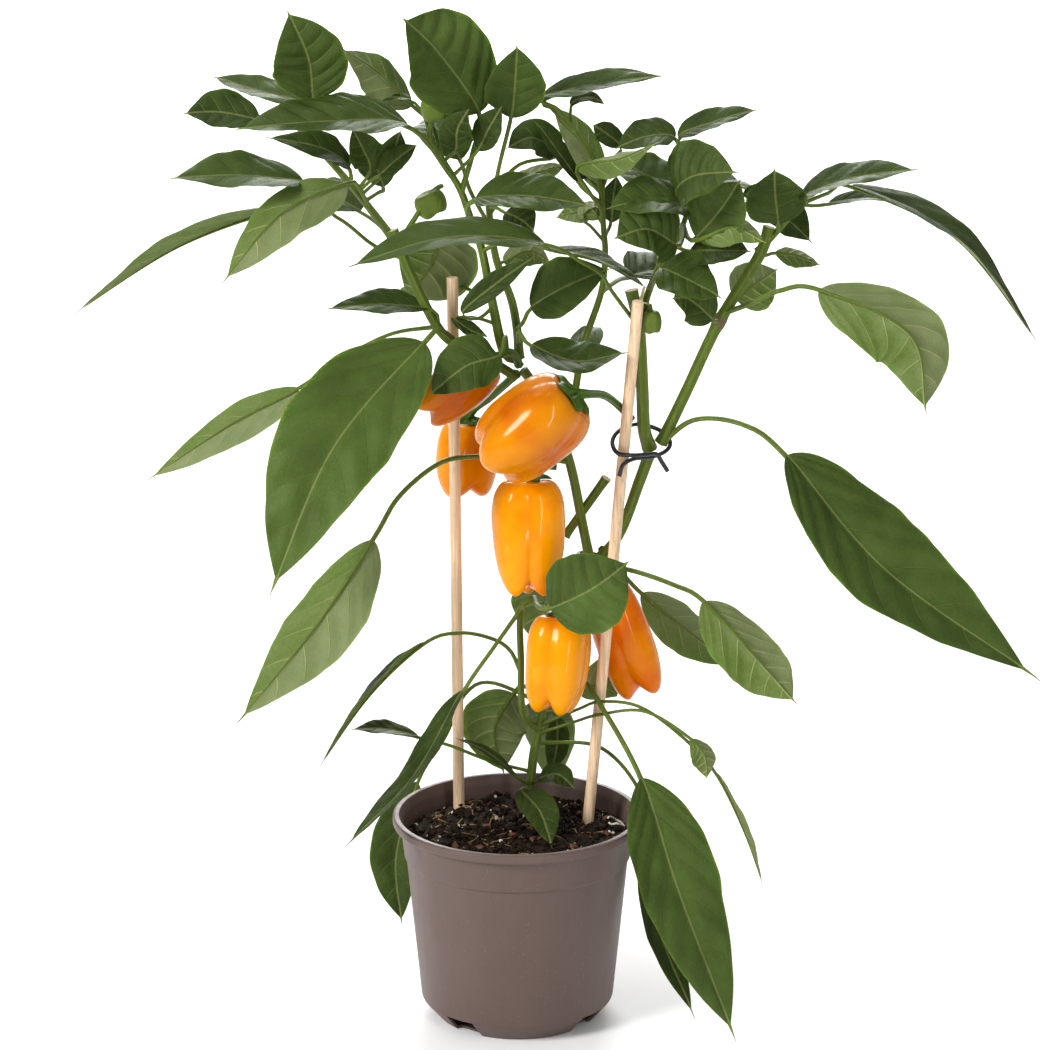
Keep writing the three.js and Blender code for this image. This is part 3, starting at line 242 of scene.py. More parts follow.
# The pot's outline from its foot to its rim and down inside again, as radius and height, with how far each
# corner is rounded.
POT_OUTLINE = [
    (0, 0, 0), (41.5, 0, 1.2), (50.3, 10, 1.5), (58, 87, 0.3), (59, 88, 0.3), (61, 105, 0.4),
    (64.4, 105, 0.3), (65, 106, 0.4), (65, 109.4, 0.6), (63.8, 110, 0.5), (61.6, 110, 0.6), (59.7, 105, 1),
    (57.7, 88, 0.5), (56.7, 86, 0.5), (49, 10.5, 1), (40.7, 1.3, 0.6), (0, 1.3, 0),
]
CORNER_STEPS = 4  # points on each rounded corner
POT_SIDES = 160
POT_CREASE = 35  # degrees
NOTCHES = (4, 17, 10, 37.5, 0.13)  # how many, width, height, inner reach from the middle, turn
NOTCH_DEPTH = 20
SOIL_OUTLINE = [(58.2, 97), (57.5, 90), (57.3, 88), (56.2, 86), (48.6, 12), (0, 11)]
SOIL_TOP = 100  # height of the soil's middle
SOIL_WALL = 58.3  # radius of the soil's top
SOIL_REACH = 56  # furthest middle of what lies on the soil

# What lies on the soil: how many, their widths from and to, how far out, and the range of height to width.
CRUMBS = (1.2, 4.2, SOIL_REACH, (0.5, 0.9))  # the pot's settings say how many
BARK_CHIPS = (45, 2.5, 6, 52, (0.25, 0.5))
WHITE_GRAINS = (60, 0.8, 2.2, SOIL_REACH, (0.6, 0.95))
FIBRES = (70, 50)  # how many, and how far out
CURL = (52, 12, 4.4)  # middle and radius of a curled white shred on the soil
# Dry looks: the two linear colours that each varies between, its grain's size and its roughness.
DRY_LOOKS = {
    "Bark": ((0.16, 0.06, 0.025), (0.05, 0.02, 0.01), 2, 0.85),
    "White grains": ((0.72, 0.68, 0.6), (0.5, 0.45, 0.37), 1, 0.9),
    "Fibre": ((0.36, 0.24, 0.11), (0.2, 0.12, 0.05), 2, 0.9),
}

LARGE_LEAF, SMALL_LEAF = 33, 18  # widths from which, and up to which, a leaf is large or small
LARGE_GRID, SMALL_GRID = (61, 23), (37, 15)  # points along and across a blade's sheet
VEIN_LEAN, VEIN_CURVE = 0.34, 1.15  # how far side veins lean on, and how they curve
VEIN_OFFSET = 0.45  # how far one side's veins are ahead of the other's, in gaps between veins
STEM_SIDES = 15

FRUIT_GRID, BUD_GRID = (73, 108), (15, 18)  # points from end to end, and sides
SHOULDER, DOME = 0.62, 0.9  # powers that square off a pepper's sides and its ends
HOLLOW, HOLLOW_REACH = 3.2, 0.35  # depth of the hollow round a calyx, and its reach as a share
CALYX_SHARE = 0.5  # a calyx's radius, as a share of its pepper's
# How much deeper in colour each pepper's skin is, and its share of brightness left under painted shade.
RIPENESS_AND_PAINTED_SHADE = {
    "right_lower": (0.5, 0.95), "upper_front": (0.26, 0.66), "upper_left": (0.5, 0.62),
    "lower": (0.05, 0.86), "middle": (0.04, 0.96), "rear": (0.2, 0.86),
}

# The stage, in metres. Each light: its place, what it aims at, its width, its height and its power in watts.
LIGHTS = {
    "Key light": ((-2.1, -1.6, 1.7), (0, 0, 0.26), 1.1, 1.1, 90),
    "Strip light": ((0.34, -0.86, 0.62), (0, 0, 0.62), 0.05, 1.15, 3.4),
    "Top light": ((-0.4, 0.5, 2.4), (0, 0, 0.26), 1.5, 1.5, 18),
    "Backdrop light": ((0, 5.2, 2.6), (0, 4.2, 0), 4.0, 4.0, 420),
}
FLOOR_REACH = 9.0
ROOM_STRENGTH = 0.42
CAMERA_PLACE, CAMERA_WAY = (0.004, -2.1148, 0.8724), (0, 0.9613, -0.2756)
LENS, SENSOR = 147.46, 36  # in mm


# ---- Curves and closed shells ----

FULL_TURN = 2 * math.pi


def unit(rows):
    """Each row divided by its length."""
    return rows / np.maximum(np.linalg.norm(rows, axis=-1, keepdims=True), 1e-12)


def curve_at(points, shares):
    """A uniform Catmull-Rom curve through the points: its places and unit tangents at shares of its spans.

    Each span is the cubic whose end slopes are half the step from the point before to the point after.
    """
    p = np.asarray(points, float)
    p = np.vstack([2 * p[0] - p[1], p, 2 * p[-1] - p[-2]])
    spans = len(p) - 3
    at = np.clip(np.asarray(shares, float) * spans, 0, spans)
    k = np.minimum(at.astype(int), spans - 1)
    w = (at - k)[:, None]
    a, b, c, d = p[k], p[k + 1], p[k + 2], p[k + 3]
    start, end = (c - a) / 2, (d - b) / 2
    square, cube = 3 * (c - b) - 2 * start - end, 2 * (b - c) + start + end
    return b + w * (start + w * (square + w * cube)), unit(start + w * (2 * square + 3 * w * cube))


def even_shares(points, count):
    """The shares of a curve's spans that cut its length into equal steps, and that length."""
    shares = np.linspace(0, 1, 201)
    steps = np.linalg.norm(np.diff(curve_at(points, shares)[0], axis=0), axis=1)
    run = np.concatenate([[0], np.cumsum(steps)])
    return np.interp(np.linspace(0, run[-1], count), run, shares), run[-1]


def way_map(along, across):
    """A shell's UV map: a number along its rows and a number across them."""
    return np.stack(np.meshgrid(along, across, indexing="ij"), axis=-1)


def round_points(radius, angle, height):
    """Points round +Z: (r cos a, r sin a, z)."""
    return np.stack(np.broadcast_arrays(radius * np.cos(angle), radius * np.sin(angle), height), axis=-1)


def table_rows(text):
    """Each row of a table: what stands before its first comma, as words, and then its points."""
    for row in text.strip().splitlines():
        head, *points = row.split(",")
        yield head.split(), np.array([point.split() for point in points], float)


def even(radius):
    """A tube's radius that stays the same along it."""
    return lambda run: radius + 0 * run


def shell(grid, uv, look=0, **values):
    """A closed shell from a grid of points whose like points meet: rows x columns quads, faces outwards.

    The grid's points that fall together are welded, so a row at a pole becomes one point. The shell is
    turned inside out where its signed volume, the sum of a . (b x c) / 6 over its triangles, is negative.
    """
    rows, columns = grid.shape[:2]
    corner = (np.arange(rows - 1)[:, None] * columns + np.arange(columns - 1)).ravel()
    quads = np.stack([corner, corner + 1, corner + columns + 1, corner + columns], axis=1)
    points = grid.reshape(-1, 3)
    place = uv.reshape(-1, 2)
    spread = {name: np.broadcast_to(value, grid.shape[:2]).ravel() for name, value in values.items()}
    looks = np.broadcast_to(look, (rows - 1, columns - 1)).ravel()
    a, b, c, d = (points[quads[:, k]] for k in range(4))
    volume = np.einsum("ij,ij->", a, np.cross(b, c)) + np.einsum("ij,ij->", a, np.cross(c, d))
    if volume < 0:
        quads = quads[:, ::-1]
    return {"points": points, "quads": quads, "uv": place, "looks": looks, "values": spread}


def tube(points, radius, sides, step, look=0, ribs=(5, 0.0), pole=1.0, **values):
    """A tube along a curve: centre + radius(share) (across cos a + up sin a) (1 + depth cos(ribs a)).

    The across direction is made square to the tangent from the one way that the curve bends least. Each
    end closes in a point, one pole's length further out. The radius is a function of the share.
    """
    count = max(4, int(round(even_shares(points, 2)[1] / step)) + 1)
    shares, length = even_shares(points, count)
    centre, tangent = curve_at(points, shares)
    least = np.linalg.svd(tangent)[2][-1]
    across = unit(least - tangent * (tangent @ least)[:, None])
    up = np.cross(tangent, across)
    run = np.linspace(0, 1, count)
    angle = np.linspace(0, FULL_TURN, sides + 1)
    size = radius(run)[:, None] * (1 + ribs[1] * np.cos(ribs[0] * angle))
    round_part = np.cos(angle)[:, None] * across[:, None] + np.sin(angle)[:, None] * up[:, None]
    grid = centre[:, None] + size[..., None] * round_part
    ends = [np.repeat((e + d * pole * t)[None, None], sides + 1, axis=1)
            for e, t, d in ((grid[0, :-1].mean(0), tangent[0], -1), (grid[-1, :-1].mean(0), tangent[-1], 1))]
    grid = np.concatenate([ends[0], grid, ends[1]])
    uv = way_map(np.concatenate([[0], run, [1]]), angle / FULL_TURN)
    return shell(grid, uv, look, length=length, half_width=float(radius(np.array([0.5]))[0]), **values)


def lathe_map(rows, angle):
    """A turned shell's UV map: even steps along its rows, and its angle as a share of a full turn."""
    return way_map(np.linspace(0, 1, rows), angle / FULL_TURN)


def turned(outline, sides):
    """A lathe about +Z of an outline's radii and heights."""
    radius, height = np.asarray(outline, float).T[..., None]
    angle = np.linspace(0, FULL_TURN, sides + 1)
    return shell(round_points(radius, angle, height), lathe_map(len(outline), angle))


def rounded(outline):
    """An outline whose corners are rounded by a quadratic curve that starts and ends a set way from each."""
    points = np.array([row[:2] for row in outline], float)
    rows = [points[:1]]
    blend = np.linspace(0, 1, CORNER_STEPS)[:, None]
    for before, corner, after, way in zip(points, points[1:], points[2:], [row[2] for row in outline[1:]]):
        start, end = corner + way * unit(before - corner), corner + way * unit(after - corner)
        rows.append((1 - blend) ** 2 * start + 2 * blend * (1 - blend) * corner + blend ** 2 * end)
    rows.append(points[-1:])
    return np.concatenate(rows)


def moved(part, matrix, origin):
    """A shell turned by a matrix and then moved."""
    return {**part, "points": part["points"] @ np.asarray(matrix).T + np.asarray(origin, float)}


def make_piece(name, parts, materials, node=None, crease=50):
    """One object of many shells: millimetres become metres, and near points of each shell are welded."""
    sizes = np.cumsum([0] + [len(part["points"]) for part in parts])
    quads = np.concatenate([part["quads"] + start for part, start in zip(parts, sizes)])
    points, uv, looks = (np.concatenate([part[key] for part in parts]) for key in ("points", "uv", "looks"))
    mesh = bpy.data.meshes.new(name)
    mesh.vertices.add(len(points))
    mesh.vertices.foreach_set("co", (points * MM).astype(np.float32).ravel())
    mesh.loops.add(quads.size)
    mesh.loops.foreach_set("vertex_index", quads.astype(np.int32).ravel())
    mesh.polygons.add(len(quads))
    mesh.polygons.foreach_set("loop_start", np.arange(0, quads.size, 4, dtype=np.int32))
    mesh.polygons.foreach_set("material_index", looks.astype(np.int32))
    mesh.update(calc_edges=True)
    layer = mesh.uv_layers.new(name="Way")
    layer.data.foreach_set("uv", uv[quads.ravel()].astype(np.float32).ravel())
    for key in sorted({key for part in parts for key in part["values"]}):
        data = [part["values"].get(key, np.zeros(len(part["points"]))) for part in parts]
        attribute = mesh.attributes.new(key, "FLOAT", "POINT")
        attribute.data.foreach_set("value", np.concatenate(data).astype(np.float32))
    work = bmesh.new()
    work.from_mesh(mesh)
    bmesh.ops.remove_doubles(work, verts=work.verts, dist=2e-6)
    bmesh.ops.dissolve_degenerate(work, edges=work.edges, dist=1e-7)
    work.to_mesh(mesh)
    work.free()
    mesh.polygons.foreach_set("use_smooth", np.ones(len(mesh.polygons), bool))
    mesh.set_sharp_from_angle(angle=math.radians(crease))
    for material in materials:
        mesh.materials.append(material)
    piece = bpy.data.objects.new(name, mesh)
    bpy.context.scene.collection.objects.link(piece)
    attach(piece, "root")
    if node:
        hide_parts(node)
    return piece


# ---- Leaves, stems and young fruit ----

TOP_SIDE, UNDERSIDE, STEM, CUT_END = range(4)  # a branch's material slots


def blade_outline(t):
    """A blade's half width along its midrib: t^a (1 - t) over its body, and a drawn-out tip past that."""
    widest, body, body_share, tip_share, peak = 0.43, 0.94, 0.93, 0.8, 1.01
    base = widest / (1 - widest)
    top = widest ** base * (1 - widest)
    within = np.clip(t / body, 0, 1)
    return (within ** base * (1 - within) / top * body_share + tip_share * t ** 2 * (1 - t)) / peak


def vein_start(t, side):
    """Where along the midrib the side vein through a blade's point starts: veins lean on towards the tip."""
    lean = VEIN_LEAN * np.abs(side) ** VEIN_CURVE
    return (t - lean) / (1 - lean)


def blade_shell(points, base_at, length, width, face, tone, leaf):
    """A blade as two sheets that share their rim.

    Across the midrib, a point is half (s, fold |s|^1.2 + waves) + the quilting between its side veins,
    half the thickness up or down. Half is the outline's half width, and s runs from -1 to 1. The
    underside's quads start one corner on, so that both sheets split along the same diagonals.
    """
    large = width >= LARGE_LEAF
    rows, columns = LARGE_GRID if large else SMALL_GRID
    t = (1 - np.cos(np.linspace(0, math.pi, rows))) / 2 * 0.35 + np.linspace(0, 1, rows) * 0.65
    s = np.sin(np.linspace(-math.pi / 2, math.pi / 2, columns)) * 0.5 + np.linspace(-1, 1, columns) * 0.5
    centre, tangent = curve_at(points, base_at + t * (1 - base_at))
    across = unit(np.cross(tangent, unit(np.array(face, float))))
    up = np.cross(across, tangent)
    scallop = 1 + 0.015 * np.sin(FULL_TURN * (5.3 * t + 0.37 * width)) * np.sin(math.pi * t)
    half = (width / 2 * blade_outline(t) * scallop)[:, None]
    edge = np.abs(s)
    along = t[:, None]
    waves = leaf.wave * edge * np.sin(9 * along + 2 * s + width)
    ruffle = 0.4 * leaf.wave * edge ** 3 * np.sin(21 * along * (1 + 0.1 * np.sign(s)) + 3 * s + 2 * width)
    veins = leaf.vein_pairs if large else leaf.vein_pairs - 1
    phase = veins * vein_start(along, s) + VEIN_OFFSET * (s > 0)
    quilt = np.abs(np.sin(math.pi * phase)) ** 0.8 * np.minimum(1, 4 * edge) * (1 - 0.7 * edge ** 4)
    quilt = leaf.quilting * (width / 40) * blade_outline(t)[:, None] * quilt
    rise = half * (leaf.fold * edge ** 1.2 + waves + ruffle) + quilt
    skin = leaf.thickness / 2 * (1 - edge ** 6) * np.minimum(1, 4 * blade_outline(t))[:, None]
    flat = centre[:, None] + (half * s)[..., None] * across[:, None]
    sheets = [flat + (rise + sign * skin)[..., None] * up[:, None] for sign in (1, -1)]
    grid = np.concatenate([sheets[0], sheets[1][:, ::-1]], axis=1)
    ring = np.concatenate([grid, grid[:, :1]], axis=1)
    uv = way_map(t, (np.concatenate([s, s[::-1], s[:1]]) + 1) / 2)
    looks = np.repeat([TOP_SIDE, UNDERSIDE], columns)
    blade = shell(ring, uv, looks, tone=tone, length=length, half_width=half, pairs=veins)
    below = blade["looks"] == UNDERSIDE
    blade["quads"][below] = np.roll(blade["quads"][below], 1, axis=1)
    return blade


def leaf_shells(points, base_at, width, face, tone, leaf):
    """A blade, with its stalk running on under it as the midrib.

    The midrib's curve is the leaf's own, lowered below the blade at its base, middle and tip.
    """
    radius = 1.4 if width >= LARGE_LEAF else 1.1 if width > SMALL_LEAF else 0.9
    shares, length = even_shares(points, 101)
    base_run = float(np.interp(base_at, shares, np.linspace(0, 1, 101)))
    blade = blade_shell(points, base_at, length * (1 - base_run), width, face, tone, leaf)
    tangent = curve_at(points, [base_at, (1 + base_at) / 2, 1])[1]
    facing = unit(np.array(face, float))
    up = unit(facing - tangent * (tangent @ facing)[:, None])
    lowered = points.copy()
    lowered[-3:] -= up * (np.array([0.75, 0.6, 0.25]) * radius)[:, None]

    def stalk_radius(run):
        """Thick at the stem, even along the stalk, and thinning to the blade's tip."""
        rib = np.clip((run - base_run) / (1 - base_run), 0, 1)
        return radius * (1 + 0.35 * np.exp(-run / 0.04)) * (1 - 0.9 * rib ** 0.8)

    stalk = tube(lowered, stalk_radius, 8, 4, STEM, ribs=(2, 0.08), pole=0.3, tone=tone)
    return [blade, stalk]


def stem_shells(route, start, end):
    """A ribbed stem that thins from one end to the other and swells a little where it forks."""
    tip = tuple(route[-1])
    cut = tip in CUT_ENDS
    knuckle = KNUCKLES.get(tip, -1)

    def knuckle_at(run):
        """1 at the knuckle, and 0 away from it."""
        return np.exp(-((run - knuckle) / 0.03) ** 2)

    def stem_radius(run):
        """An even taper, thicker at both ends and at the knuckle."""
        swell = 0.22 * np.exp(-run / 0.05) + 0.12 * np.exp((run - 1) / 0.04) + 0.25 * knuckle_at(run)
        return (start + (end - start) * run) * (1 + swell)

    part = tube(route, stem_radius, STEM_SIDES, 3, STEM, ribs=(5, 0.07), pole=0.3 if cut else 1.0)
    part["values"]["tone"] = 3 * knuckle_at(part["uv"][:, 0])
    if cut:
        part["looks"][-STEM_SIDES:] = CUT_END
    return part


def fruit_grid(radius, length, lobes, turn, taper, size):
    """A pepper about +Z, calyx end up, from a unit sphere's height u, radius rho and angle.

    r = radius rho^SHOULDER (1 - taper down) (1 + 5% of the lobes, more so downwards), and z = half the
    length times u^DOME, less the hollow round the calyx, with a cleft between the lobes' ends below.
    """
    rows, sides = size
    lean = np.linspace(0, math.pi, rows)[:, None]
    angle = np.linspace(0, FULL_TURN, sides + 1)[None]
    u, rho = np.cos(lean) + 0 * angle, np.sin(lean) + 0 * angle
    wave = np.abs(np.cos((lobes * angle + turn) / 2))
    lobe = (2 * wave ** 1.3 - 1) * np.minimum(1, 3 * rho)
    crease = np.exp(-(wave / 0.22) ** 2) * np.minimum(1, 3 * rho)
    down = np.clip((1 - u) / 2, 0, 1)
    swell = 0.015 * np.sin(3 * u + 2 * angle + turn) + 0.012 * np.sin(5 * u - 3 * angle + 2 * turn)
    bulge = 1 + 0.05 * lobe * (1 + down) - 0.012 * crease + swell * rho
    r = radius * rho ** SHOULDER * (1 - taper * down) * bulge
    hollow = (HOLLOW * np.exp(-(rho / HOLLOW_REACH) ** 2) - 0.02 * length * lobe * rho ** 2) * (u > 0)
    cleft = (4 * np.exp(-(rho / 0.4) ** 2) - 0.06 * length * lobe * down) * (u < 0)
    z = length / 2 * np.sign(u) * np.abs(u) ** DOME - (hollow - cleft) * min(1, radius / 12)
    return round_points(r, angle, z), way_map(lean[:, 0] / math.pi, angle[0] / FULL_TURN), lobe


def upright(axis):
    """The shortest turn from +Z to an axis."""
    return np.array(Vector((0, 0, 1)).rotation_difference(Vector(axis)).to_matrix())


def bud_shells(middle, radius, half_length, axis):
    """A small young fruit, with its calyx end up its axis."""
    grid, uv, _ = fruit_grid(radius, 2 * half_length, 3, 0.6, 0.1, BUD_GRID)
    fruit = shell(grid, uv, STEM, tone=0.6, length=2 * half_length, half_width=radius)
    return [moved(fruit, upright([-v for v in axis]), middle)]


def branch_shells(stems, leaves, buds, leaf, seed):
    """The stems, leaves and young fruit of one branch.

    A leaf's stalk starts at the nearest stem's middle, and a wide leaf is painted lighter than a small one,
    as painted sheen.
    """
    stems = [(route, float(start), float(end)) for (start, end), route in table_rows(stems)]
    hearts = np.concatenate([curve_at(route, even_shares(route, 61)[0])[0] for route, _, _ in stems])
    draw = np.random.default_rng(seed)
    parts = [stem_shells(*stem) for stem in stems]
    for (_, width, *face), points in table_rows(leaves):
        width = float(width)
        points[0] = hearts[np.argmin(np.linalg.norm(hearts - points[0], axis=1))]
        base_at = (len(points) - 3) / (len(points) - 1)
        # Painted sheen: the tone rises with the width, so wide leaves are painted lighter; the random draw
        # varies it from leaf to leaf.
        tone = np.clip(draw.uniform(-0.5, 0.5) + (width - 38) / 22, -1, 1)
        parts += leaf_shells(points, base_at, width, face, tone, leaf)
    for bud in buds:
        parts += bud_shells(*bud)
    return parts


# ---- Surfaces ----

def math_method(operation, swapped=False):
    """A Wire's method that adds a Math node of one kind."""
    def method(self, *others):
        values = (*others, self) if swapped else (self, *others)
        return self.surface.node("ShaderNodeMath", {"operation": operation}, dict(enumerate(values)))
    return method


class Wire:
    """A number or colour that runs through a material's nodes. Sums and products of it add Math nodes."""

    __add__, __sub__, __rsub__ = math_method("ADD"), math_method("SUBTRACT"), math_method("SUBTRACT", True)
    __mul__, __truediv__, __pow__ = math_method("MULTIPLY"), math_method("DIVIDE"), math_method("POWER")
    __abs__, cosine, part = math_method("ABSOLUTE"), math_method("COSINE"), math_method("FRACT")

    def __init__(self, surface, socket):
        self.surface, self.socket = surface, socket

    def ramp(self, low, high, start=0.0, end=1.0):
        """Start below low and end above high, with a smooth rise between."""
        settings = {"interpolation_type": "SMOOTHSTEP", "clamp": True}
        return self.surface.node("ShaderNodeMapRange", settings, {0: self, 1: low, 2: high, 3: start, 4: end})


class Surface:
    """One material: a Principled shader, and the nodes that feed it."""

    def __init__(self, name, **constants):
        self.material = bpy.data.materials.new(name)
        self.material.use_nodes = True
        self.tree = self.material.node_tree
        self.shader = next(n for n in self.tree.nodes if n.type == "BSDF_PRINCIPLED")
        for key, value in constants.items():
            self.shader.inputs[key.replace("_", " ").title().replace("Ior", "IOR")].default_value = value

    def node(self, kind, settings=None, inputs=None, output=0):
        """A node of a type, its settings set first and then its sockets' values or links."""
        node = self.tree.nodes.new(kind)
        for key, value in (settings or {}).items():
            setattr(node, key, value)
        for key, value in (inputs or {}).items():
            if isinstance(value, Wire):
                self.tree.links.new(value.socket, node.inputs[key])
            else:
                node.inputs[key].default_value = value
        return Wire(self, node.outputs[output])

    def value(self, name):
        """One of the piece's own attributes."""
        return self.node("ShaderNodeAttribute", {"attribute_name": name}, output="Fac")

    def way(self):
        """The piece's own UV map, as two numbers."""
        place = self.node("ShaderNodeUVMap", {"uv_map": "Way"})
        return [self.node("ShaderNodeSeparateXYZ", None, {0: place}, k) for k in (0, 1)]

    def place(self, stretch=(1, 1, 1), turn=(0, 0, 0)):
        """The piece's own coordinates, in metres, turned and stretched."""
        spot = self.node("ShaderNodeTexCoord", None, None, "Object")
        return self.node("ShaderNodeMapping", None, {0: spot, 2: turn, 3: stretch})

    def noise(self, size, detail=3, stretch=(1, 1, 1), turn=(0, 0, 0)):
        """Soft noise from about 0 to 1 whose features are a size in millimetres."""
        spot = self.place(stretch, turn)
        sockets = {"Vector": spot, "Scale": 1000 / size, "Detail": detail, "Roughness": 0.55}
        return self.node("ShaderNodeTexNoise", None, sockets)

    def cells(self, size, feature="F1"):
        """Distances in a cell pattern whose cells are a size in millimetres across."""
        sockets = {"Vector": self.place(), "Scale": 1000 / size}
        return self.node("ShaderNodeTexVoronoi", {"feature": feature}, sockets)

    def mix(self, factor, first, second, blend="MIX"):
        """A colour between two colours."""
        settings = {"data_type": "RGBA", "blend_type": blend}
        first, second = ((*value, 1) if isinstance(value, tuple) else value for value in (first, second))
        return self.node("ShaderNodeMix", settings, {0: factor, 6: first, 7: second}, 2)

    def finish(self, colour, roughness, height=None, depth=0.3):
        """Feed the shader: its colour, its roughness, and a bump whose full height is a depth in mm."""
        links = [(colour, "Base Color"), (roughness, "Roughness")]
        if height is not None:
            sockets = {"Strength": 1.0, "Distance": depth * MM, "Height": height}
            links.append((self.node("ShaderNodeBump", None, sockets), "Normal"))
        for wire, name in links:
            if isinstance(wire, Wire):
                self.tree.links.new(wire.socket, self.shader.inputs[name])
            else:
                self.shader.inputs[name].default_value = wire
        return self.material


def shade(colour, share=1.0, plus=0.0):
    """A display colour as the linear numbers that a shader takes, times a share and plus a little."""
    linear = (v / 12.92 if v <= 0.04045 else ((v + 0.055) / 1.055) ** 2.4 for v in colour)
    return tuple(min(1, share * v + plus) for v in linear)


def vein_masks(surface):
    """How far a blade's point is a midrib, a side vein or a veinlet, from its own way and size."""
    along, share = surface.way()
    side = share * 2 - 1
    edge = abs(side)
    lean = edge ** VEIN_CURVE * VEIN_LEAN
    start = (along - lean) / (1 - lean)
    right = side.ramp(-0.0001, 0.0001)
    pairs = surface.value("pairs")
    phase = (start * pairs + right * VEIN_OFFSET).part()
    gap = abs(phase - 0.5) * -1 + 0.5
    side_mm = gap * surface.value("length") / pairs
    middle_mm = edge * surface.value("half_width")
    wobble = surface.noise(4, 2) * 0.5 - 0.25
    side_vein = (side_mm + wobble * 0.5).ramp(0.1, 0.75, 1, 0) * edge.ramp(0.55, 0.95, 1, 0)
    midrib = middle_mm.ramp(0.3, 0.8, 1, 0)
    veinlet = surface.cells(3.6, "DISTANCE_TO_EDGE").ramp(0.0, 0.12, 1, 0)
    return midrib, side_vein, veinlet


def leaf_top(leaf):
    """The upper side: dark green that varies from leaf to leaf, painted lighter on wide leaves as painted
    sheen, with a pale midrib and a soft gloss.
    """
    s = Surface("Leaf upper side", specular_ior_level=0.2, specular_tint=(0.8, 0.97, 0.5, 1),
                subsurface_weight=0.15, subsurface_radius=(0.5, 0.8, 0.1), subsurface_scale=0.001)
    midrib, side_vein, veinlet = vein_masks(s)
    tone = s.value("tone") * 0.5 + 0.5
    blotch = s.noise(24, 3).ramp(0.3, 0.7)
    # The tone holds each leaf's random variation of green and its painted sheen, which grows with its width.
    green = s.mix(tone * 0.6 + blotch * 0.3, shade(leaf.upper_colour), shade(leaf.fresh_and_sheen_colour))
    green = s.mix(veinlet * 0.02 + side_vein * 0.05, green, shade(leaf.vein_colour))
    green = s.mix(midrib * 0.26, green, shade(leaf.vein_colour))
    green = s.mix(s.noise(1.2, 2).ramp(0.35, 0.75) * 0.3, green, (0.7, 0.76, 0.7), "MULTIPLY")
    height = s.noise(1.6, 3) * 0.25 - midrib * 0.6 - side_vein * 0.6 - veinlet * 0.12
    return s.finish(green, s.noise(6, 3).ramp(0.2, 0.8, 0.46, 0.6), height, 0.35)


def leaf_underside(leaf):
    """The underside: matt grey-green, with raised pale veins, one half painted greener as painted light
    shining through the blade, and some random greener mottle.
    """
    s = Surface("Leaf underside", specular_ior_level=0.2, subsurface_weight=0.15,
                subsurface_radius=(0.5, 0.8, 0.2), subsurface_scale=0.001)
    midrib, side_vein, veinlet = vein_masks(s)
    _, share = s.way()
    # One half across the blade is painted greener: painted light shining through the leaf. The noise adds
    # random mottle.
    backlight_and_mottle = share.ramp(0.35, 0.6, 0.65, 0) + s.noise(15, 3).ramp(0.3, 0.7) * 0.3
    green = s.mix(backlight_and_mottle, shade(leaf.under_colour), shade(leaf.backlit_green_colour))
    green = s.mix(side_vein * 0.5 + veinlet * 0.06, green, shade(leaf.vein_colour))
    green = s.mix(midrib * 0.6, green, shade(leaf.vein_colour))
    height = s.noise(1.2, 3) * 0.2 + midrib * 0.5 + side_vein * 0.7 + veinlet * 0.12
    return s.finish(green, s.noise(5, 2).ramp(0.2, 0.8, 0.55, 0.7), height, 0.4)


def stem_green(leaf):
    """Stems and stalks: green with paler ribs, darker and browner where they are old."""
    s = Surface("Green stem", specular_ior_level=0.25, specular_tint=(0.8, 0.95, 0.45, 1))
    _, turn = s.way()
    rib = (turn * (FULL_TURN * 5)).cosine().ramp(-1, 1)
    aged = s.noise(9, 3, (1, 1, 0.3)).ramp(0.35, 0.7) * 0.5
    green = s.mix(aged, shade(leaf.stem_colour), shade(leaf.stem_colour, 0.55))
    green = s.mix(rib * 0.28, green, shade(leaf.stem_colour, 1.8))
    green = s.mix(s.noise(1.4, 2, (1, 1, 0.2)).ramp(0.55, 0.8) * 0.25, green, shade(leaf.vein_colour))
    green = s.mix(s.value("tone").ramp(1.2, 2.8) * 0.8, green, (0.13, 0.07, 0.055))
    height = s.noise(0.7, 2, (1, 1, 0.15)) * 0.5 + rib * 0.3
    return s.finish(green, s.noise(5, 2).ramp(0.2, 0.8, 0.42, 0.6), height, 0.15)


def cut_pith():
    """A cut stem's end: dry cream pith with browner patches."""
    s = Surface("Cut stem end")
    cream = s.mix(s.noise(1.1, 3).ramp(0.3, 0.7), (0.6, 0.52, 0.33), (0.34, 0.25, 0.12))
    return s.finish(cream, 0.8, s.noise(0.8, 2), 0.2)


def pepper_skin(fruit, name, deeper, darker):
    """Waxy ripe skin: orange-yellow, deeper in patches, with fine dots, a green tinge at the calyx and a
    clear gloss.

    Painted shade deepens the creases between the lobes and darkens each pepper's whole skin by its own share.
    """
    s = Surface(name, specular_ior_level=0.2, specular_tint=(1, 0.6, 0.1, 1), coat_weight=0.26,
                coat_roughness=0.07, subsurface_weight=0.06, subsurface_radius=(0.9, 0.3, 0.03),
                subsurface_scale=0.004)
    down, _ = s.way()
    patch = s.noise(26, 2).ramp(0.35, 0.72)
    # The tone is highest in the creases between the lobes, so they get a deeper, darker orange: painted
    # crease shade.
    ripeness_and_crease_shade = patch * 0.5 + s.value("tone") * 0.3 + deeper
    # The share named darker is painted shade: it darkens every colour of this pepper's skin.
    colour = s.mix(ripeness_and_crease_shade.ramp(0, 1.1), shade(fruit.skin_colour, darker), shade(fruit.deep_colour, darker))
    dots = s.cells(1.3).ramp(0.02, 0.22, 0.22, 0)
    colour = s.mix(dots, colour, shade(fruit.skin_colour, 1.5 * darker, 0.02))
    colour = s.mix(down.ramp(0.0, 0.09, 0.35, 0), colour, (0.3, 0.34, 0.02))
    height = s.noise(2.6, 3) * 0.4 + s.noise(0.6, 2) * 0.08
    return s.finish(colour, s.noise(9, 3).ramp(0.25, 0.8, 0.24, 0.36), height, 0.12)


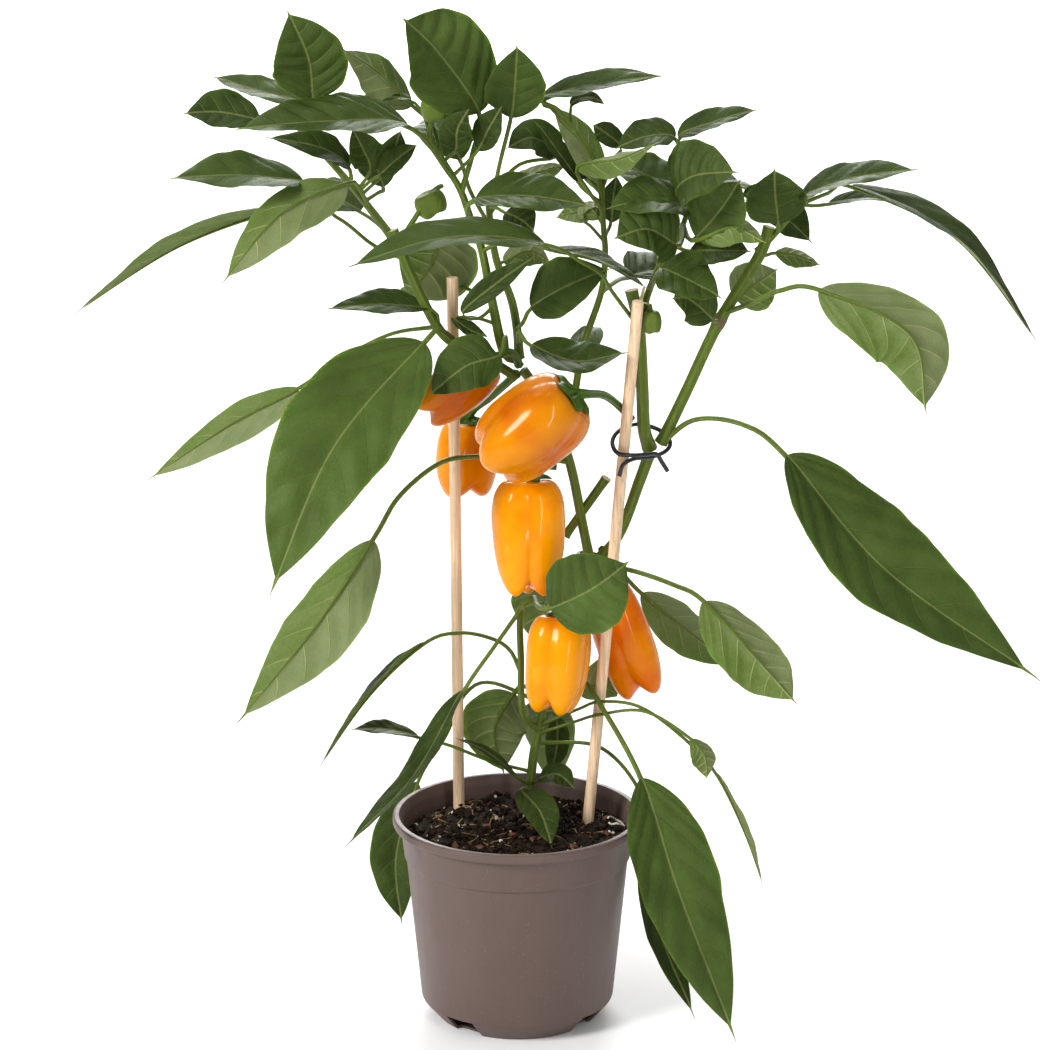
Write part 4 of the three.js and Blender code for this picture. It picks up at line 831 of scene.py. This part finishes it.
def calyx_green(fruit):
    """A fruit's calyx and stalk: dark green, ribbed and a little glossy."""
    s = Surface("Calyx and stalk", specular_ior_level=0.25, specular_tint=(0.8, 0.95, 0.4, 1))
    _, turn = s.way()
    rib = (turn * (FULL_TURN * 6)).cosine().ramp(-1, 1)
    lighter = rib * 0.4 + s.noise(3, 3).ramp(0.3, 0.7) * 0.3
    green = s.mix(lighter, shade(fruit.calyx_colour), shade(fruit.calyx_colour, 2.2))
    return s.finish(green, s.noise(3, 2).ramp(0.2, 0.8, 0.35, 0.55), s.noise(0.8, 3) * 0.5 + rib * 0.4, 0.25)


def pot_plastic(pot):
    """Moulded nursery plastic: satin grey-brown, with faint flow marks, fine grain and dust."""
    s = Surface("Pot plastic", specular_ior_level=0.3)
    tint = s.mix(s.noise(70, 3, (1, 1, 0.5)).ramp(0.3, 0.7), shade(pot.colour), shade(pot.colour, 1.14))
    tint = s.mix(s.noise(3, 4, (1, 1, 0.12)).ramp(0.45, 0.8) * 0.2, tint, shade(pot.colour, 0.8))
    dust = s.noise(1.2, 3).ramp(0.62, 0.8) * 0.2
    tint = s.mix(dust, tint, (0.42, 0.36, 0.31))
    rough = s.noise(18, 3, (1, 1, 0.4)).ramp(0.3, 0.7, 0.42, 0.54)
    return s.finish(tint, rough, s.noise(0.45, 2) * 0.5 + s.noise(9, 2, (1, 1, 0.3)) * 0.5, 0.06)


def soil_brown(pot):
    """Damp potting mix: near-black peat with brown patches and flecks."""
    s = Surface("Potting mix", specular_ior_level=0.15)
    patch = s.noise(3.5, 5).ramp(0.35, 0.7)
    brown = s.mix(patch, shade(pot.soil_colour, 0.45), shade(pot.soil_colour, 1.7))
    brown = s.mix(s.cells(1.6).ramp(0.0, 0.3, 0.35, 0), brown, (0.16, 0.09, 0.045))
    height = s.noise(2.2, 5) + s.noise(0.6, 3) * 0.4
    return s.finish(brown, 0.92, height, 0.8)


def dry_look(name):
    """A dry, matt material that varies between two colours."""
    first, second, size, rough = DRY_LOOKS[name]
    s = Surface(name, specular_ior_level=0.3)
    colour = s.mix(s.noise(size, 4).ramp(0.32, 0.7), first, second)
    return s.finish(colour, rough, s.noise(size * 0.4, 3), 0.2)


def stake_wood(stakes, name, turn):
    """Pale split wood: long fine grain along the stake, darker pores and a few tan streaks."""
    s = Surface(name, specular_ior_level=0.3)
    grain = s.noise(1.1, 4, (1, 1, 0.03), turn).ramp(0.32, 0.7)
    colour = s.mix(grain, shade(stakes.wood_colour), shade(stakes.wood_colour, 0.72))
    streak = s.noise(3.2, 2, (1, 1, 0.02), turn).ramp(0.55, 0.75)
    colour = s.mix(streak * 0.45, colour, (0.36, 0.19, 0.08))
    pores = s.noise(0.4, 2, (1, 1, 0.06), turn).ramp(0.6, 0.75)
    colour = s.mix(pores * 0.5, colour, (0.22, 0.13, 0.07))
    return s.finish(colour, grain.ramp(0, 1, 0.62, 0.78), grain * 0.6 - pores * 0.6, 0.25)


def tie_coating(stakes):
    """The tie's black plastic coat: satin, with fine scuffs."""
    s = Surface("Tie coating", specular_ior_level=0.5)
    colour = s.mix(s.noise(2, 3).ramp(0.5, 0.8) * 0.4, shade(stakes.tie_colour), (0.05, 0.05, 0.055))
    return s.finish(colour, s.noise(3, 3).ramp(0.3, 0.7, 0.32, 0.5), s.noise(0.8, 2), 0.06)


# ---- Settings ----

def colour(name, description, value):
    """A display colour setting."""
    return FloatVectorProperty(name=name, description=description, subtype="COLOR", size=3, min=0, max=1,
                               default=[v / 255 for v in value])


class LeafSettings(bpy.types.PropertyGroup):
    """Sizes and colours of the leaves and stems."""
    thickness: FloatProperty(name="Blade thickness", description="Thickness of a leaf blade in mm",
                             default=0.5)
    fold: FloatProperty(name="Fold", description="Rise of the blade's halves, as a share of their width",
                        default=0.22, subtype="FACTOR", min=0, max=1)
    wave: FloatProperty(name="Edge waves", description="Height of the edge's waves, as a share of the width",
                        default=0.08, subtype="FACTOR", min=0, max=1)
    quilting: FloatProperty(name="Quilting", description="Rise of the blade between its veins in mm",
                            default=1.8)
    vein_pairs: IntProperty(name="Vein pairs", description="Side veins on each half of a large leaf",
                            default=6)
    upper_colour: colour("Upper side", "Colour of an old leaf's upper side", (31, 44, 10))
    # Lighter green that some leaves lean to at random, and that wide leaves are painted towards as painted
    # sheen.
    fresh_and_sheen_colour: colour("Young leaf", "Colour of a young leaf's upper side", (72, 91, 38))
    under_colour: colour("Underside", "Colour of a leaf's underside", (112, 122, 80))
    # Painted light: the green of light shining through the leaf, painted on one half of each underside.
    backlit_green_colour: colour("Backlit green", "Greener colour in parts of the underside", (78, 100, 32))
    vein_colour: colour("Veins", "Colour of the veins", (158, 164, 100))
    stem_colour: colour("Stem", "Colour of the stems and stalks", (80, 96, 36))


class FruitSettings(bpy.types.PropertyGroup):
    """Colours of the fruit."""
    skin_colour: colour("Skin", "Colour of the ripe skin", (240, 152, 0))
    deep_colour: colour("Deep skin", "Colour where the skin is ripest", (212, 96, 0))
    calyx_colour: colour("Calyx", "Colour of the calyx and stalk", (46, 68, 15))


class PotSettings(bpy.types.PropertyGroup):
    """Colours of the pot and its soil."""
    colour: colour("Pot", "Colour of the pot's plastic", (86, 70, 64))
    soil_colour: colour("Potting mix", "Colour of the potting mix", (31, 21, 12))
    crumbs: IntProperty(name="Crumbs", description="Loose crumbs on the soil", default=900, min=0)


class StakeSettings(bpy.types.PropertyGroup):
    """Sizes and colours of the stakes and their tie."""
    radius: FloatProperty(name="Stake radius", description="Radius of a stake in mm", default=3)
    tie_radius: FloatProperty(name="Tie radius", description="Radius of the coated wire in mm", default=1.15)
    wood_colour: colour("Wood", "Colour of the stakes' wood", (234, 202, 166))
    tie_colour: colour("Tie", "Colour of the tie's coating", (20, 20, 22))


# ---- Operators ----

class PLANT_OT_pot(bpy.types.Operator):
    """Turn the pot and cut its drain notches"""
    bl_idname = "plant.pot"
    bl_label = "Pot"

    def execute(self, context):
        material = pot_plastic(context.scene.plant_pot)
        shape = turned(rounded(POT_OUTLINE), POT_SIDES)
        pot = make_piece("pot_shell", [shape], [material], "pot", POT_CREASE)
        count, width, height, reach, turn = NOTCHES
        cutters = bpy.data.meshes.new("notch")
        cutting = bmesh.new()
        for k in range(count):
            block = bmesh.ops.create_cube(cutting, size=1)["verts"]
            bmesh.ops.scale(cutting, verts=block, vec=(NOTCH_DEPTH * MM, width * MM, 2 * height * MM))
            bmesh.ops.translate(cutting, verts=block, vec=((reach + NOTCH_DEPTH / 2) * MM, 0, 0))
            spin = Matrix.Rotation((k + 0.5) * FULL_TURN / count + turn, 3, "Z")
            bmesh.ops.rotate(cutting, verts=block, cent=(0, 0, 0), matrix=spin)
        cutting.to_mesh(cutters)
        cutting.free()
        tool = bpy.data.objects.new("notch", cutters)
        context.scene.collection.objects.link(tool)
        cut = pot.modifiers.new("Notches", "BOOLEAN")
        cut.object, cut.operation, cut.solver = tool, "DIFFERENCE", "EXACT"
        depsgraph = context.evaluated_depsgraph_get()
        finished = bpy.data.meshes.new_from_object(pot.evaluated_get(depsgraph))
        pot.modifiers.clear()
        pot.data = finished
        finished.set_sharp_from_angle(angle=math.radians(POT_CREASE))
        bpy.data.objects.remove(tool)
        return {"FINISHED"}


def soil_height(x, y):
    """The soil's top: broad lumps and fine crumbs as sums of sines, falling away at the pot's wall."""
    lumps = np.sin(0.21 * x + 0.9) * np.cos(0.17 * y) + 0.6 * np.sin(0.33 * (x + y))
    crumbs = 0
    for k, (size, rise) in enumerate(((9, 0.5), (5.5, 0.4), (3.4, 0.3), (2.2, 0.22))):
        a, b = (FULL_TURN / size * wave(1.3 * k + 0.4) for wave in (math.cos, math.sin))
        crumbs = crumbs + rise * np.sin(a * x + b * y + k) * np.cos(b * x - 0.8 * a * y + 2 * k)
    fall = np.clip((np.hypot(x, y) - 49) / 10, 0, 1)
    return SOIL_TOP + 1.1 * lumps + crumbs - 3.4 * fall ** 2


def soil_shell():
    """The soil as a lathe whose top rows follow the soil's height and whose sides follow the pot's wall."""
    angle = np.linspace(0, FULL_TURN, 181)
    top = round_points(np.linspace(0, SOIL_WALL, 52)[:, None], angle, 0.0)
    top = np.dstack([top[..., :2], soil_height(top[..., 0], top[..., 1])])
    radius, height = np.array(SOIL_OUTLINE, float).T[..., None]
    grid = np.concatenate([top, round_points(radius, angle, height)])
    return shell(grid, lathe_map(len(grid), angle))


def soil_spot(draw, reach):
    """A random spot on the soil: where it is, and its angle round the middle."""
    away, angle = reach * math.sqrt(draw.uniform(0, 1)), draw.uniform(0, FULL_TURN)
    return away * math.cos(angle), away * math.sin(angle), angle


def scattered(draw, count, low, high, reach, flat, lift=0.25):
    """Small angular grains: a lumpy five-sided ball stretched three ways and laid at random on the soil.

    Their widths run from low to high, and flat is the range of their height to their width.
    """
    sides = np.linspace(0, FULL_TURN, 6)
    lean = np.linspace(0, math.pi, 5)
    ball = round_points(np.sin(lean)[:, None], sides, np.cos(lean)[:, None])
    uv = lathe_map(len(lean), sides)
    parts = []
    for _ in range(count):
        size = draw.uniform(low, high)
        shape = size * np.array([1, draw.uniform(0.5, 0.95), draw.uniform(*flat)])
        lumps = 1 + 0.25 * np.sin(7 * ball @ draw.normal(size=3) + draw.uniform(0, 6))
        x, y, angle = soil_spot(draw, reach)
        turn = Euler((draw.uniform(-0.6, 0.6), draw.uniform(-0.6, 0.6), angle * 3)).to_matrix()
        z = float(soil_height(np.array(x), np.array(y))) + lift * shape[2]
        grain = ball * lumps[..., None] * shape / 2
        parts.append(moved(shell(grain, uv, tone=draw.uniform(0, 1)), turn, (x, y, z)))
    return parts


def fibres(draw, count, reach):
    """Thin bent threads that lie on the soil."""
    parts = []
    for _ in range(count):
        x, y, _ = soil_spot(draw, reach)
        way, length, bend = draw.uniform(0, FULL_TURN), draw.uniform(5, 14), draw.uniform(-0.9, 0.9)
        run = np.linspace(-0.5, 0.5, 4)
        x = x + length * run * math.cos(way) - bend * length * run ** 2 * math.sin(way)
        y = y + length * run * math.sin(way) + bend * length * run ** 2 * math.cos(way)
        inside = np.minimum(1, SOIL_REACH / np.hypot(x, y))
        x, y = x * inside, y * inside
        z = soil_height(x, y) + 0.5 + 0.5 * np.cos(6 * run)
        parts.append(tube(np.stack([x, y, z], axis=-1), even(draw.uniform(0.16, 0.36)), 5, 2.4, pole=0.3))
    return parts


class PLANT_OT_soil(bpy.types.Operator):
    """Fill the pot, and lay crumbs, bark, white grains and threads on the soil"""
    bl_idname = "plant.soil"
    bl_label = "Soil"

    def execute(self, context):
        pot = context.scene.plant_pot
        draw = np.random.default_rng(11)
        earth = soil_brown(pot)
        make_piece("soil_fill", [soil_shell()], [earth], "soil", 80)
        crumbs = scattered(draw, pot.crumbs, *CRUMBS)
        make_piece("soil_crumbs", crumbs, [earth], None)
        bark = dry_look("Bark")
        make_piece("bark_chips", scattered(draw, *BARK_CHIPS), [bark], None)
        white = dry_look("White grains")
        turn = np.linspace(0.3, 6.0, 10)
        x, y = CURL[0] + CURL[2] * np.cos(turn), CURL[1] + CURL[2] * np.sin(turn)
        curl = tube(np.stack([x, y, soil_height(x, y) + 0.9], axis=-1), even(0.55), 7, 1, pole=0.3)
        grains = scattered(draw, *WHITE_GRAINS, lift=0.4)
        make_piece("white_grains", [*grains, curl], [white], None)
        make_piece("soil_fibres", fibres(draw, *FIBRES), [dry_look("Fibre")], None)
        return {"FINISHED"}


class PLANT_OT_stakes(bpy.types.Operator):
    """Set the two wooden stakes"""
    bl_idname = "plant.stakes"
    bl_label = "Stakes"

    def execute(self, context):
        stakes = context.scene.plant_stakes
        r = stakes.radius
        for name, (foot, top) in (("stake_left", LEFT_STAKE), ("stake_right", RIGHT_STAKE)):
            foot, top = np.array(foot, float), np.array(top, float)
            low = foot + (top - foot) * (STAKE_DEPTH - foot[2]) / (top[2] - foot[2])
            axis = top - low
            length = float(np.linalg.norm(axis))
            rows = np.linspace(2, length - 2, 60)
            outline = [(0, 0), (r - 0.5, 0), (r, 0.5), *[(r, z) for z in rows], (r, length - 0.35),
                       (r - 0.4, length), (0, length)]
            rod = turned(outline, 24)
            angle = np.arctan2(rod["points"][:, 1], rod["points"][:, 0])
            facet = 1 - 0.018 * (1 + np.cos(5 * angle + 0.02 * rod["points"][:, 2]))
            rod["points"][:, :2] *= facet[:, None]
            quat = Vector((0, 0, 1)).rotation_difference(Vector(axis))
            turn = tuple(-v for v in quat.to_euler())
            wood = stake_wood(stakes, f"Wood of the {name.replace('_', ' ')}", turn)
            make_piece(f"{name}_rod", [moved(rod, quat.to_matrix(), low)], [wood], name, 40)
        return {"FINISHED"}


class PLANT_OT_tie(bpy.types.Operator):
    """Bend the coated wire round the right stake and stems"""
    bl_idname = "plant.tie"
    bl_label = "Wire tie"

    def execute(self, context):
        stakes = context.scene.plant_stakes
        wire = tube(WIRE_ROUTE, even(stakes.tie_radius), 14, 1.2, ribs=(2, 0.06), pole=0.4)
        make_piece("tie_wire", [wire], [tie_coating(stakes)], "wire_tie")
        return {"FINISHED"}


class PLANT_OT_foliage(bpy.types.Operator):
    """Grow each branch's stems, leaves and young fruit"""
    bl_idname = "plant.foliage"
    bl_label = "Leaves and stems"

    def execute(self, context):
        leaf = context.scene.plant_leaves
        looks = [leaf_top(leaf), leaf_underside(leaf), stem_green(leaf), cut_pith()]
        for seed, (node, (stems, leaves, buds)) in enumerate(BRANCHES.items()):
            parts = branch_shells(stems, leaves, buds, leaf, seed)
            if node == "right_inner_branch":
                petals = tube(WITHERED_FLOWER, lambda run: 1.5 - 0.9 * run, 9, 1.5, CUT_END, ribs=(3, 0.3))
                parts.append(petals)
            make_piece(f"{node}_leaves", parts, looks, node)
        return {"FINISHED"}


def calyx_shell(radius, length):
    """A calyx as two sheets that share a rim with five soft points and lie along the pepper's shoulders.

    The lower sheet is the shoulders' own height at a radius, raised by 0.3 mm and more towards the rim.
    """
    angle = np.linspace(0, FULL_TURN, 61)
    rho = np.linspace(0, 1, 13)[:, None]
    r = rho * CALYX_SHARE * radius * (1 + 0.2 * np.cos(5 * angle) + 0.06 * np.cos(2 * angle + 1))
    lean = (r / radius) ** (1 / SHOULDER)
    hollow = HOLLOW * np.exp(-(lean / HOLLOW_REACH) ** 2)
    low = length / 2 * (1 - lean ** 2) ** (DOME / 2) - hollow + 0.3 + 0.5 * rho ** 2
    thick = (1.7 + 3.6 * (1 - rho) ** 2 + 0.5 * np.sin(9 * angle + 4 * rho)) * (1 - rho ** 8)
    grid = np.concatenate([round_points(r, angle, low + thick), round_points(r, angle, low)[::-1]])
    return shell(grid, lathe_map(len(grid), angle))


class PLANT_OT_peppers(bpy.types.Operator):
    """Hang the ripe peppers by their stalks"""
    bl_idname = "plant.peppers"
    bl_label = "Peppers"

    def execute(self, context):
        fruit = context.scene.plant_fruit
        green = calyx_green(fruit)
        for name, (shoulder, blossom, radius, lobes, turn, taper, route) in PEPPERS.items():
            shoulder, blossom = np.array(shoulder, float), np.array(blossom, float)
            axis, middle = shoulder - blossom, (shoulder + blossom) / 2
            length = float(np.linalg.norm(axis))
            matrix = upright(axis)
            grid, uv, lobe = fruit_grid(radius, length, lobes, turn, taper, FRUIT_GRID)
            # Each pepper gets its own copy of the skin, darkened by its own share of painted shade.
            skin = pepper_skin(fruit, f"Pepper skin {name.replace('_', ' ')}", *RIPENESS_AND_PAINTED_SHADE[name])
            # The tone is 1 in the creases between the lobes and 0 on their middles: the skin paints crease
            # shade from it.
            body = moved(shell(grid, uv, tone=0.5 - lobe / 2), matrix, middle)
            make_piece(f"pepper_{name}_fruit", [body], [skin], f"pepper_{name}")
            inward = (np.array(route, float) - middle) @ matrix
            way = np.vstack([[0, 0, length / 2 - 1], inward])

            def stalk_radius(run):
                """Flared into the calyx, slim along the way and a little thicker at the stem."""
                return 1.95 + 1.3 * np.exp(-run / 0.09) + 0.5 * np.exp((run - 1) / 0.08)

            stalk = tube(way, stalk_radius, 18, 1.1, ribs=(6, 0.08), pole=0.5)
            parts = [moved(part, matrix, middle) for part in (calyx_shell(radius, length), stalk)]
            make_piece(f"stalk_{name}_calyx", parts, [green], f"stalk_{name}")
        return {"FINISHED"}


class PLANT_OT_stage(bpy.types.Operator):
    """Lay a pale floor, hang soft lights and place the camera"""
    bl_idname = "plant.stage"
    bl_label = "Floor, lights and camera"

    def execute(self, context):
        scene = context.scene
        mesh = bpy.data.meshes.new("floor")
        corners = [(x * FLOOR_REACH, y * FLOOR_REACH, 0) for x, y in ((-1, -1), (1, -1), (1, 1), (-1, 1))]
        mesh.from_pydata(corners, [], [(0, 1, 2, 3)])
        floor = bpy.data.objects.new("floor", mesh)
        scene.collection.objects.link(floor)
        paper = Surface("Pale floor")
        mesh.materials.append(paper.finish((0.9, 0.9, 0.9, 1), 0.85))
        world = bpy.data.worlds.new("Soft room")
        world.use_nodes = True
        sky = world.node_tree.nodes["Background"].inputs
        sky["Color"].default_value = (1, 1, 1, 1)
        sky["Strength"].default_value = ROOM_STRENGTH
        scene.world = world
        for name, (place, aim, width, height, power) in LIGHTS.items():
            light = bpy.data.lights.new(name, "AREA")
            light.shape, light.size, light.size_y, light.energy = "ELLIPSE", width, height, power
            lamp = bpy.data.objects.new(name, light)
            lamp.location = place
            lamp.rotation_euler = (Vector(aim) - Vector(place)).to_track_quat("-Z", "Y").to_euler()
            scene.collection.objects.link(lamp)
        lens = bpy.data.cameras.new("Camera")
        lens.lens, lens.sensor_width = LENS, SENSOR
        lens.clip_start, lens.clip_end = 0.05, 60
        camera = bpy.data.objects.new("Camera", lens)
        camera.location = CAMERA_PLACE
        camera.rotation_euler = Vector(CAMERA_WAY).to_track_quat("-Z", "Y").to_euler()
        scene.collection.objects.link(camera)
        scene.camera = camera
        scene.view_settings.view_transform = "Standard"
        return {"FINISHED"}


class PLANT_PT_panel(bpy.types.Panel):
    """The plant's pieces and settings"""
    bl_idname = "PLANT_PT_panel"
    bl_label = "Potted Pepper Plant"
    bl_space_type = "VIEW_3D"
    bl_region_type = "UI"
    bl_category = "Pepper Plant"

    def draw(self, context):
        for operator in OPERATORS:
            self.layout.operator(operator.bl_idname)
        for group in SETTINGS:
            box = self.layout.box()
            for key in SETTINGS[group].__annotations__:
                box.prop(getattr(context.scene, group), key)


OPERATORS = (PLANT_OT_stage, PLANT_OT_pot, PLANT_OT_soil, PLANT_OT_stakes, PLANT_OT_tie, PLANT_OT_foliage,
             PLANT_OT_peppers)
SETTINGS = {"plant_leaves": LeafSettings, "plant_fruit": FruitSettings, "plant_pot": PotSettings,
            "plant_stakes": StakeSettings}


def register():
    for cls in (*SETTINGS.values(), *OPERATORS, PLANT_PT_panel):
        bpy.utils.register_class(cls)
    for name, cls in SETTINGS.items():
        setattr(bpy.types.Scene, name, PointerProperty(type=cls))


def unregister():
    for name in SETTINGS:
        delattr(bpy.types.Scene, name)
    for cls in (PLANT_PT_panel, *reversed(OPERATORS), *reversed(SETTINGS.values())):
        bpy.utils.unregister_class(cls)


def main():
    """Build the whole plant."""
    register()
    bpy.ops.plant.stage()
    bpy.ops.plant.pot()
    bpy.ops.plant.soil()
    bpy.ops.plant.stakes()
    bpy.ops.plant.tie()
    bpy.ops.plant.foliage()
    bpy.ops.plant.peppers()


if __name__ == "__main__":
    main()
